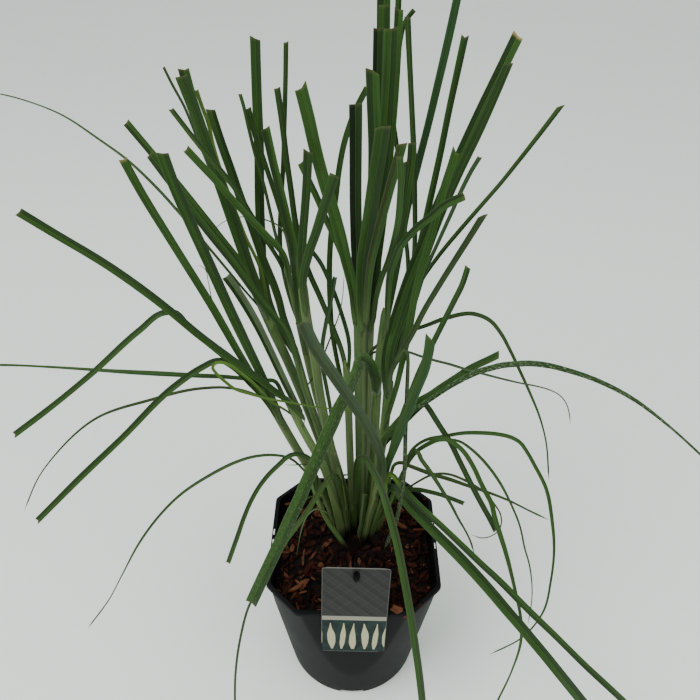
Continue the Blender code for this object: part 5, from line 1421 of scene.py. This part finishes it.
def pot_form():
    """Rings from the middle of the underside out, up the wall, over the lip and down inside."""
    inner_floor = FLOOR_RAISE + FLOOR_THICKNESS
    foot = [circle(TINY, 0.0), circle(PAD_RADIUS, 0.0), circle(PAD_RADIUS + 0.002, FLOOR_RAISE),
            circle(FOOT_RING_INNER - 0.002, FLOOR_RAISE), circle(FOOT_RING_INNER, 0.0),
            circle(FOOT_RADIUS - 0.0015, 0.0), circle(cone_radius(0.0005) - EASE, 0.0005),
            circle(cone_radius(0.002), 0.002)]
    lip = [body_ring(LIP_UNDER - 0.0008), body_ring(LIP_UNDER, -0.0005),
           rim_ring(EASE, LIP_UNDER), rim_ring(0.0, LIP_UNDER + EASE),
           rim_ring(0.0, POT_HEIGHT - EDGE_ROUND),
           rim_ring(EDGE_ROUND * 0.3, POT_HEIGHT - EDGE_ROUND * 0.3),
           rim_ring(EDGE_ROUND, POT_HEIGHT), rim_ring(LIP_PROUD + WALL - 0.0006, POT_HEIGHT),
           rim_ring(LIP_PROUD + WALL, POT_HEIGHT - 0.0006)]
    floor = [circle(cone_radius(inner_floor) - WALL, inner_floor), circle(TINY, inner_floor)]
    outside = [body_ring(z) for z in WALL_LEVELS]
    inside = [body_ring(z, WALL) for z in reversed(WALL_LEVELS)]
    form = Form()
    form.loft(np.array(foot + outside + lip + inside + floor), {})
    return form


# %% [markdown]
# ## The pot's plastic
# Recycled black polypropylene is dull, with a fine grain from its mould, faint clouds, and pale
# dust that gathers low down. Noise of three sizes is enough for all of them.

# %% Pot finish
def pot_finish():
    f = Finish("pot_plastic", shine=0.1)
    place = f.place()
    grain = f.noise(place, 2600.0, 2.0)
    cloud = f.noise(place, 14.0, 4.0)
    dust = f.noise(place, 160.0, 3.0)
    height = f.parts(place)[2]
    colour = f.mix(cloud.rise(0.35, 0.7), linear(6, 7, 8), linear(12, 14, 15))
    grime = dust.rise(0.62, 0.75) * cloud.rise(0.45, 0.6)
    colour = f.mix(grime * 0.10, colour, linear(64, 64, 60))
    low = height.rise(0.024, 0.0) * dust.rise(0.40, 0.7)
    f.colour(f.mix(low * 0.22, colour, linear(78, 76, 70)))
    f.rough(0.44 + cloud * 0.18 + grain * 0.10)
    f.relief(grain, 0.00006, 0.5)
    return f.material


pot = piece("nursery_pot", pot_form(), pot_finish(), ["pot"], crease=24)
print("pot:", len(pot.data.polygons), "faces before its holes are cut")

# %% [markdown]
# ## The pot's slots, drains and notches
# Three carry slots go through the lip on the left and on the right, four drains through the
# floor, and four notches through the foot ring. Rings cannot turn aside for a hole, so boxes
# and rods are cut out of the finished pot instead.

# %% Tools that cut
def cut_out(target, cutters):
    """Cut solids out of a piece for good."""
    for cutter in cutters:
        modifier = target.modifiers.new("shape", "BOOLEAN")
        modifier.operation = "DIFFERENCE"
        modifier.object = cutter
    result = target.evaluated_get(bpy.context.evaluated_depsgraph_get())
    shaped = bpy.data.meshes.new_from_object(result)
    target.modifiers.clear()
    target.data = shaped
    for cutter in cutters:
        bpy.data.objects.remove(cutter, do_unlink=True)


def box_tool(low, high):
    (x0, y0, z0), (x1, y1, z1) = low, high
    form = Form()
    form.loft(np.array([[(x0, y0, z), (x1, y0, z), (x1, y1, z), (x0, y1, z)]
                        for z in (z0, z1)]), {})
    return solid("tool", form)


def rod_form(foot, head, radii, sides=24):
    """A turned bar between two points, with one radius for each ring."""
    foot, head = np.array(foot), np.array(head)
    way = (head - foot) / np.linalg.norm(head - foot)
    side = np.cross(way, (0.31, 0.95, 0.1))
    side /= np.linalg.norm(side)
    other = np.cross(way, side)
    turns = np.arange(sides) * math.tau / sides
    rings = []
    for share, radius in radii:
        middle = foot + (head - foot) * share
        rings.append(middle + radius * (np.cos(turns)[:, None] * side
                                        + np.sin(turns)[:, None] * other))
    form = Form()
    form.loft(np.array(rings), {})
    return form


# %% Cut the pot
SLOT_LENGTH = 0.0118
SLOT_WIDTH = 0.0020
SLOT_BRIDGE = 0.0028        # between two slots
SLOT_COUNT = 3
SLOT_INSET = 0.0009         # the lip left outside the slots
SLOT_MIDDLES = {-1: -0.0025, 1: 0.0095}  # where the row of slots is, on the left and right
DRAIN_RADIUS = 0.006
DRAIN_CIRCLE = 0.040
NOTCH_WIDTH = 0.0285
NOTCH_HEIGHT = 0.006
NOTCH_DEPTH = 0.008
PAST = 0.01                 # how far a tool goes past what it cuts


def slot_tools():
    for side, slots_middle in SLOT_MIDDLES.items():
        middle = side * (POT_WIDTH / 2 - SLOT_INSET - SLOT_WIDTH / 2)
        whole = SLOT_COUNT * SLOT_LENGTH + (SLOT_COUNT - 1) * SLOT_BRIDGE
        for i in range(SLOT_COUNT):
            start = slots_middle - whole / 2 + i * (SLOT_LENGTH + SLOT_BRIDGE)
            yield box_tool((middle - SLOT_WIDTH / 2, start, LIP_UNDER - PAST),
                           (middle + SLOT_WIDTH / 2, start + SLOT_LENGTH, POT_HEIGHT + PAST))


def drain_tools():
    for i in range(4):
        turn = math.pi / 2 * i
        x, y = math.cos(turn) * DRAIN_CIRCLE, math.sin(turn) * DRAIN_CIRCLE
        yield solid("tool", rod_form((x, y, -PAST), (x, y, 2 * PAST),
                                     ((0, DRAIN_RADIUS), (1, DRAIN_RADIUS))))


def notch_tools():
    for x, y in ((0, -1), (1, 0), (0, 1), (-1, 0)):
        half_x = NOTCH_WIDTH / 2 if x == 0 else NOTCH_DEPTH
        half_y = NOTCH_WIDTH / 2 if y == 0 else NOTCH_DEPTH
        yield box_tool((x * FOOT_RADIUS - half_x, y * FOOT_RADIUS - half_y, -PAST),
                       (x * FOOT_RADIUS + half_x, y * FOOT_RADIUS + half_y, NOTCH_HEIGHT))


cut_out(pot, [*slot_tools(), *drain_tools(), *notch_tools()])
print("pot:", len(pot.data.polygons), "faces")

# %% [markdown]
# ## Bark
# The bed is the plug of the solid. On it lie some hundreds of bark chips, 5 to 32 mm long:
# split slabs with a woody grain along them. One chip copied many times would soon show, so each
# one is shaped anew from random draws, larger ones first and smaller ones on top of them. They
# are one joined piece.

# %% One bark chip
CHIP_SIDES = 8
CHIP_LEVELS = ((-0.5, 0.80), (-0.3, 0.98), (0.3, 1.0), (0.5, 0.90))  # height, share of width


def chip(form, rng, middle, length, tilt, heading, tint, thick=None):
    """One split slab of bark, wider in its middle, with broken ends."""
    width = length * rng.uniform(0.16, 0.52)
    thick = thick or length * rng.uniform(0.06, 0.15)
    turns = np.arange(CHIP_SIDES) + rng.uniform(-0.38, 0.38, CHIP_SIDES)
    turns = turns * math.tau / CHIP_SIDES
    out = rng.uniform(0.62, 1.12, CHIP_SIDES)
    plan = np.stack([np.cos(turns) * out * length / 2, np.sin(turns) * out * width / 2], 1)
    rings = []
    for height, inset in CHIP_LEVELS:
        lift = height * thick + rng.uniform(-0.14, 0.14, CHIP_SIDES) * thick
        ragged = rng.uniform(0.92, 1.06, (CHIP_SIDES, 1))
        rings.append(np.column_stack([plan * inset * ragged, lift]))
    rings = np.array(rings)
    rings[..., 2] += (rings[..., 0] / length) ** 2 * thick * rng.uniform(-1.5, 1.5)
    turn = (Matrix.Rotation(heading, 3, "Z") @ Matrix.Rotation(tilt[0], 3, "X")
            @ Matrix.Rotation(tilt[1], 3, "Y"))
    form.loft(rings @ np.array(turn).T + np.array(middle), {
        "grain": rings * 1000 + rng.uniform(0, 900, 3),
        "tint_share": tint})


print(CHIP_SIDES * len(CHIP_LEVELS), "points on a chip")

# %% Scatter the chips
MULCH_RING = np.hypot(*body_ring(MULCH_TOP, WALL)[:, :2].T)  # the bed's edge at each angle
BARK_LAYERS = ((1100, 0.014, 0.032), (3000, 0.005, 0.024))  # tries, shortest, longest
LAYER_RISE = 0.0028
SHOOT_ROOM = 0.006          # kept free of chips round the foot of a shoot
WALL_ROOM = 0.42            # share of its length that a chip's middle keeps off the wall
CHIP_ROOM = 0.23            # share of their lengths that two chips' middles keep apart
# bits that lie on the rim or stand out: picture place, level, length, heading, paleness
STRAY_CHIPS = (
    (397, 609, POT_HEIGHT + 0.0015, 0.019, -0.4, 1.0),
    (405, 617, POT_HEIGHT + 0.0005, 0.006, 0.4, 0.8),
    (424.5, 499, POT_HEIGHT + 0.0012, 0.009, 1.1, 0.5),
    (345, 475, POT_HEIGHT + 0.0010, 0.008, 0.2, 0.4),
    (288, 504, MULCH_TOP + 0.012, 0.009, 0.3, 1.0),
    (421, 605, POT_HEIGHT + 0.0010, 0.014, 0.75, 0.25),
)


def on_level(x_px, y_px, z):
    """Where the line of sight through a place in the picture meets a level."""
    line = sight_lines(np.array([(x_px, y_px)], float))[0]
    return EYE + line * (z - EYE[2]) / line[2]


def inside_pot(x, y, room):
    reach = np.interp(math.atan2(y, x), ANGLES, MULCH_RING, period=math.tau)
    return math.hypot(x, y) < reach - room


def chips_form():
    """Chips dropped at random places of the bed, where they find room, and the stray bits."""
    rng = np.random.default_rng(12)
    form = Form()
    feet = np.array([s.points()[0][:2] for s in shoots])
    count = 0
    for layer, (tries, shortest, longest) in enumerate(BARK_LAYERS):
        taken = []
        for _ in range(tries):
            x, y = rng.uniform(-0.09, 0.09, 2)
            length = rng.uniform(shortest, longest)
            to_shoot = np.linalg.norm(feet - (x, y), axis=1).min()
            if not inside_pot(x, y, length * WALL_ROOM) or to_shoot < SHOOT_ROOM:
                continue
            if any((x - a) ** 2 + (y - b) ** 2 < ((length + c) * CHIP_ROOM) ** 2
                   for a, b, c in taken):
                continue
            taken.append((x, y, length))
            z = MULCH_TOP - 0.001 + layer * LAYER_RISE + rng.uniform(0, 0.0022)
            tilt = rng.normal(0, 0.34, 2)
            # Painted shade: the tint share is random for each chip's own tone, and cut down near
            # the shoots so that chips under the clump come out darker.
            tint = rng.uniform(0, 1) ** 1.5 * min(1.0, 0.25 + to_shoot / 0.030)
            chip(form, rng, (x, y, z), length, tilt, rng.uniform(0, math.tau), tint)
        count += len(taken)
    for x, y, z, length, heading, tint in STRAY_CHIPS:
        chip(form, rng, on_level(x, y, z), length, (0.1, 0.15), heading, tint, thick=0.0022)
    print(count, "bark chips")
    return form


# %% [markdown]
# ## The bark's finish
# Chips are reddish brown, some pale where freshly broken, with nearly black gaps between. Near
# the shoots they are darker, as painted shade under the clump. Each chip keeps its own grain
# coordinates, so its fibres run along it whichever way it lies.

# %% Bark finish
def bark_finish():
    f = Finish("bark", shine=0.1)
    grain, share = f.kept("grain", "Vector"), f.kept("tint_share")
    x, y, z = f.parts(grain)
    fibre = f.noise(f.vector(x * 0.12, y * 1.3, z * 1.3), 1.0, 4.0, 0.65)
    patch = f.noise(grain, 0.16, 3.0)
    red = f.mix(fibre.rise(0.36, 0.64), linear(16, 6, 3), linear(60, 25, 15))
    pale = f.mix(fibre.rise(0.34, 0.66), linear(62, 30, 18), linear(112, 72, 48))
    colour = f.mix((share + (patch - 0.5) * 0.5).rise(0.66, 0.94), red, pale)
    # Chips with a low tint share turn nearly black: at random for their own tone, and near the
    # shoots as painted shade under the clump.
    dark = (share + (patch - 0.5) * 0.7).rise(0.30, 0.12)
    f.colour(f.mix(dark * 0.88, colour, linear(7, 4, 3)))
    f.rough(0.70 + fibre * 0.25)
    f.relief(fibre, 0.0006, 0.9)
    return f.material


piece("bark_chips", chips_form(), bark_finish(), crease=28)

# %% [markdown]
# ## The soil
# Between the chips the bed shows as damp black soil. Its solid is seen as it is, so it only
# takes a new finish: crumbs and lumps of noise, with some relief.

# %% Soil finish
def soil_finish():
    f = Finish("dark_soil", shine=0.2)
    place = f.place()
    crumbs = f.noise(place, 420.0, 4.0, 0.7)
    lumps = f.noise(place, 90.0, 3.0)
    colour = f.mix(crumbs.rise(0.44, 0.72), linear(7, 5, 3), linear(34, 20, 12))
    f.colour(f.mix(lumps.rise(0.5, 0.7) * 0.4, colour, linear(22, 14, 9)))
    f.rough(0.80 + crumbs * 0.2)
    f.relief(crumbs + lumps, 0.0012, 0.9)
    return f.material


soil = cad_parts["bark_mulch"].data
soil.materials.clear()
soil.materials.append(soil_finish())
print("the bed wears", soil.materials[0].name)

# %% [markdown]
# ## The label
# A stiff printed card with rounded corners hangs from a hole on a black peg. A plane with a
# bevel could be cut to it, but one ring-shaped sheet from the hole out to the edge needs no
# cutting. Its print is a plain design: a charcoal panel with a faint lattice, a bare pale band,
# and a teal panel with cream blades.

# %% Where the label hangs
LABEL_TOP_PX = (356.7, 568.2)
LABEL_FOOT_PX = (352.6, 651.0)
LABEL_TOP_BACK = -92.0
LABEL_FOOT_BACK = -103.0


def place(x_px, y_px, back_mm):
    """The point seen at a place in the picture, so far behind the pot's axis."""
    line = sight_lines(np.array([(x_px, y_px)], float))[0]
    return np.array(Vector(EYE + line * (back_mm * MM - EYE[1]) / line[1]))


def label_frame():
    """The middles of the card's top and foot, and the ways up it, across it and out of it."""
    top = place(*LABEL_TOP_PX, LABEL_TOP_BACK)
    foot = place(*LABEL_FOOT_PX, LABEL_FOOT_BACK)
    up = (top - foot) / np.linalg.norm(top - foot)
    across = np.array((1.0, 0.0, 0.0))
    across = across - up * (across @ up)
    across /= np.linalg.norm(across)
    return top, foot, up, across, np.cross(across, up)


LABEL_TOP, LABEL_FOOT, LABEL_UP, LABEL_ACROSS, LABEL_FRONT = label_frame()
LABEL_HEIGHT = np.linalg.norm(LABEL_TOP - LABEL_FOOT)
print("the card is", round(LABEL_HEIGHT * 1000, 1), "mm high")

# %% The label's form
LABEL_WIDTH = 0.0684
LABEL_THICKNESS = 0.0009
CORNER_ROUND = 0.0035
HOLE_RADIUS = 0.0034
HOLE_DROP = 0.0075          # hole's middle below the card's top edge
LABEL_POINTS = 96
SHEET_SHARES = (0.15, 0.35, 0.6, 0.8, 1.0)  # rings of the sheet between its hole and its edge


def label_outline(turns):
    """The card's edge, seen from its hole at each turn."""
    outline = []
    for turn in turns:
        way = np.array((math.cos(turn), math.sin(turn)))
        reach_x = LABEL_WIDTH / 2 / max(abs(way[0]), 1e-9)
        edge_y = HOLE_DROP if way[1] > 0 else LABEL_HEIGHT - HOLE_DROP
        reach_y = edge_y / max(abs(way[1]), 1e-9)
        outline.append((0.0, -HOLE_DROP) + way * min(reach_x, reach_y))
    outline = np.array(outline)
    low, high = np.array((-LABEL_WIDTH / 2, -LABEL_HEIGHT)), np.array((LABEL_WIDTH / 2, 0.0))
    inner = np.clip(outline, low + CORNER_ROUND, high - CORNER_ROUND)
    away = outline - inner
    size = np.linalg.norm(away, axis=1)[:, None]
    rounded = inner + away / np.maximum(size, 1e-9) * CORNER_ROUND
    return np.where(size > CORNER_ROUND, rounded, outline)


def label_form():
    """The card as a ring-shaped sheet: an outline with rounded corners round a round hole."""
    turns = np.arange(LABEL_POINTS) * math.tau / LABEL_POINTS + 0.01
    outline = label_outline(turns)
    hole = (0.0, -HOLE_DROP) + HOLE_RADIUS * np.column_stack([np.cos(turns), np.sin(turns)])
    sheet = [hole] + [hole + (outline - hole) * share for share in SHEET_SHARES]
    rings = []
    for out, order in ((LABEL_THICKNESS / 2, sheet), (-LABEL_THICKNESS / 2, sheet[::-1])):
        for flat in order:
            rings.append(np.column_stack([flat, np.full(LABEL_POINTS, out)]))
    rings = np.array(rings)
    world = (LABEL_TOP + rings[..., :1] * LABEL_ACROSS + rings[..., 1:2] * LABEL_UP
             + rings[..., 2:] * LABEL_FRONT)
    form = Form()
    form.loft(world, {"card": rings * 1000}, caps=False)
    last = (len(rings) - 1) * LABEL_POINTS
    for c in range(LABEL_POINTS):
        d = (c + 1) % LABEL_POINTS
        form.faces.append((last + c, last + d, d, c))
    return form


# %% [markdown]
# ## The label's print
# Print is flat colour, so it is painted from the card's own millimetres: every panel, line and
# blade is a comparison between numbers.

# %% Label finish
BAND_TOP, BAND_FOOT = 73.0, 79.5  # mm below the card's top
LATTICE = 0.055                   # tiles for each mm


def label_finish(tall):
    f = Finish("label_print", shine=0.12)
    x, y, out = f.parts(f.kept("card", "Vector"))
    face = out.rise(0.1, 0.3)
    down = y * -1.0
    grain = f.noise(f.vector(x, y), 1.4, 2.0)
    half = LABEL_WIDTH * 500
    inside = abs(x).rise(half - 0.5, half - 0.8) * down.rise(0.5, 0.8)
    inside = inside * down.rise(tall - 0.5, tall - 0.8)
    rising, falling = ((x + y) * LATTICE).fraction(), ((x - y) * LATTICE).fraction()
    lattice = abs(rising - 0.5).rise(0.03, 0.0).most(abs(falling - 0.5).rise(0.03, 0.0))
    tile = f.mix(rising, linear(38, 38, 37), linear(51, 50, 49))
    charcoal = f.mix(lattice * 0.45, tile, linear(78, 78, 76))
    colour = f.mix(grain * 0.3, charcoal, linear(28, 28, 27))
    band = down.rise(BAND_TOP, BAND_TOP + 0.3)
    colour = f.mix(band, colour, linear(140, 138, 124))
    lower = down.rise(BAND_FOOT, BAND_FOOT + 0.3)
    teal = f.mix(f.noise(f.vector(x, y), 0.10, 2.0).rise(0.35, 0.65), linear(14, 28, 27),
                 linear(26, 46, 43))
    column = (x * 0.085 + 0.5).fraction() - 0.5
    height = (down - (BAND_FOOT + 5.0)) / (tall - BAND_FOOT - 9.0)
    taper = height.rise(0.0, 0.5) * 0.24 * height.rise(1.10, 0.70) + 0.03
    sway = (height * 3.1 + x * 0.2).sine() * 0.10
    drawn = (abs(column + sway) - taper).rise(0.03, 0.0) * height.rise(0.0, 0.02)
    drawn = drawn * height.rise(1.0, 0.98)
    panel = f.mix(drawn, teal, linear(176, 170, 138))
    colour = f.mix(lower, colour, panel)
    colour = f.mix(inside, linear(84, 86, 82), colour)
    f.colour(f.mix(face, linear(120, 120, 114), colour))
    f.rough(0.28 + grain * 0.12)
    f.relief(grain, 0.00003, 0.4)
    return f.material


card = piece("hanging_label", label_form(), label_finish(LABEL_HEIGHT * 1000),
             ["label"], crease=35)
print("label:", len(card.data.polygons), "faces")

# %% [markdown]
# ## The peg
# A black plastic rod behind the card goes down into the soil. A short neck comes through the
# card's hole from it and ends in a flat head. All three are turned or squashed rods, so they are
# lofts again, joined in one piece.

# %% Peg
GAP = 0.0003                # left between the card and the peg
PEG_RADIUS = 0.0024
PEG_HEAD_RADIUS = 0.0042
PEG_HEAD_HEIGHT = 0.0135
PEG_HEAD_DEPTH = 0.0022
PEG_SINK = 0.025
PEG_ABOVE = 0.004           # how far the rod goes past the card's top edge
NECK_OUT = 0.002            # how far the neck comes out of the card
NECK_SHARE = 0.9            # of the rod's radius
PEG_LEAN = 0.075            # how far the rod leans to the front, for its height
ROD_SHAPE = ((0, 0.7), (0.02, 1), (0.90, 1), (0.925, 1.18), (0.95, 1.25), (0.975, 1.1),
             (0.99, 0.8), (1.0, 0.4))


def peg_finish():
    f = Finish("peg_plastic", shine=0.06)
    haze = f.noise(f.place(), 220.0, 3.0)
    f.colour(f.mix(haze, linear(1, 1, 1), linear(5, 5, 6)))
    f.rough(0.45 + haze * 0.2)
    return f.material


def peg_form():
    """The rod, the neck that comes through the card, and the head on it."""
    hole = LABEL_TOP - LABEL_UP * HOLE_DROP
    behind = hole - LABEL_FRONT * (LABEL_THICKNESS / 2 + GAP + PEG_RADIUS)
    head_end = behind + LABEL_UP * (HOLE_DROP + PEG_ABOVE)
    lean = np.array((0, -PEG_LEAN, 1)) / math.hypot(PEG_LEAN, 1)
    foot = behind - lean * ((behind[2] - MULCH_TOP + PEG_SINK) / lean[2])
    form = rod_form(foot, head_end, [(share, PEG_RADIUS * size) for share, size in ROD_SHAPE])
    neck_end = hole + LABEL_FRONT * (LABEL_THICKNESS / 2 + GAP + NECK_OUT)
    neck_radius = PEG_RADIUS * NECK_SHARE
    neck = rod_form(behind, neck_end, ((0, neck_radius), (1, neck_radius)), 16)
    form.add(neck.points[0], neck.faces)
    across = np.cross(LABEL_UP, LABEL_FRONT)
    turns = np.arange(20) * math.tau / 20
    rings = []
    for share in np.linspace(0, 1, 14):
        swell = 2.05 * math.sqrt(share * (1 - share)) * (1 - 0.35 * share) + 0.02
        middle = neck_end + LABEL_FRONT * 0.0012 - LABEL_UP * (share * PEG_HEAD_HEIGHT - 0.0046)
        rings.append(middle + swell * (
            across * (np.cos(turns) * PEG_HEAD_RADIUS)[:, None]
            + LABEL_FRONT * (np.sin(turns) * PEG_HEAD_DEPTH)[:, None]))
    form.loft(np.array(rings), {})
    return form


peg = piece("peg", peg_form(), peg_finish(), ["label_peg"], crease=40)
print("peg:", len(peg.data.polygons), "faces")

# %% [markdown]
# ## The studio
# A plain pale floor that runs out of the picture, a soft sky and two broad soft lamps. A bright
# sun would be simpler, but it would draw hard shadows through the clump. The camera stands
# where the strokes' eye is.

# %% Floor
def floor_finish():
    f = Finish("floor", shine=0.1)
    cloud = f.noise(f.place(), 1.4, 2.0)
    f.colour(f.mix(cloud, linear(240, 246, 241), linear(235, 242, 237)))
    return f.material


floor_mesh = bpy.data.meshes.new("floor")
floor_mesh.from_pydata([(-6, -6, 0), (6, -6, 0), (6, 6, 0), (-6, 6, 0)], [], [(0, 1, 2, 3)])
floor_mesh.materials.append(floor_finish())
floor = bpy.data.objects.new("floor", floor_mesh)
bpy.context.scene.collection.objects.link(floor)
print("floor laid")

# %% Light
world = bpy.data.worlds.new("sky")
bpy.context.scene.world = world
world.use_nodes = True
world.node_tree.nodes["Background"].inputs["Color"].default_value = (0.95, 1.0, 0.97, 1.0)
world.node_tree.nodes["Background"].inputs["Strength"].default_value = 0.95
CLUMP_MIDDLE = Vector((0, 0, 0.3))


def lamp(name, spot, size, power):
    """A round soft lamp that looks at the clump."""
    light = bpy.data.lights.new(name, "AREA")
    light.shape = "DISK"
    light.size = size
    light.energy = power
    made = bpy.data.objects.new(name, light)
    made.location = spot
    made.rotation_euler = (CLUMP_MIDDLE - Vector(spot)).to_track_quat("-Z", "Y").to_euler()
    bpy.context.scene.collection.objects.link(made)


lamp("soft_lamp", (-1.2, -0.9, 2.6), size=1.6, power=52)
lamp("fill_lamp", (1.6, -1.2, 1.8), size=1.8, power=15)
print("two lamps lit")

# %% Camera
SENSOR = 36.0               # mm across
camera_data = bpy.data.cameras.new("camera")
camera_data.sensor_width = SENSOR
camera_data.lens = FOCAL_PX / PICTURE * SENSOR
camera = bpy.data.objects.new("camera", camera_data)
ahead, right, up = view_axes()
turn = Matrix((right, up, -ahead)).transposed()
camera.matrix_world = Matrix.Translation(EYE) @ turn.to_4x4()
bpy.context.scene.collection.objects.link(camera)
bpy.context.scene.camera = camera
print("lens:", round(camera_data.lens, 2), "mm")
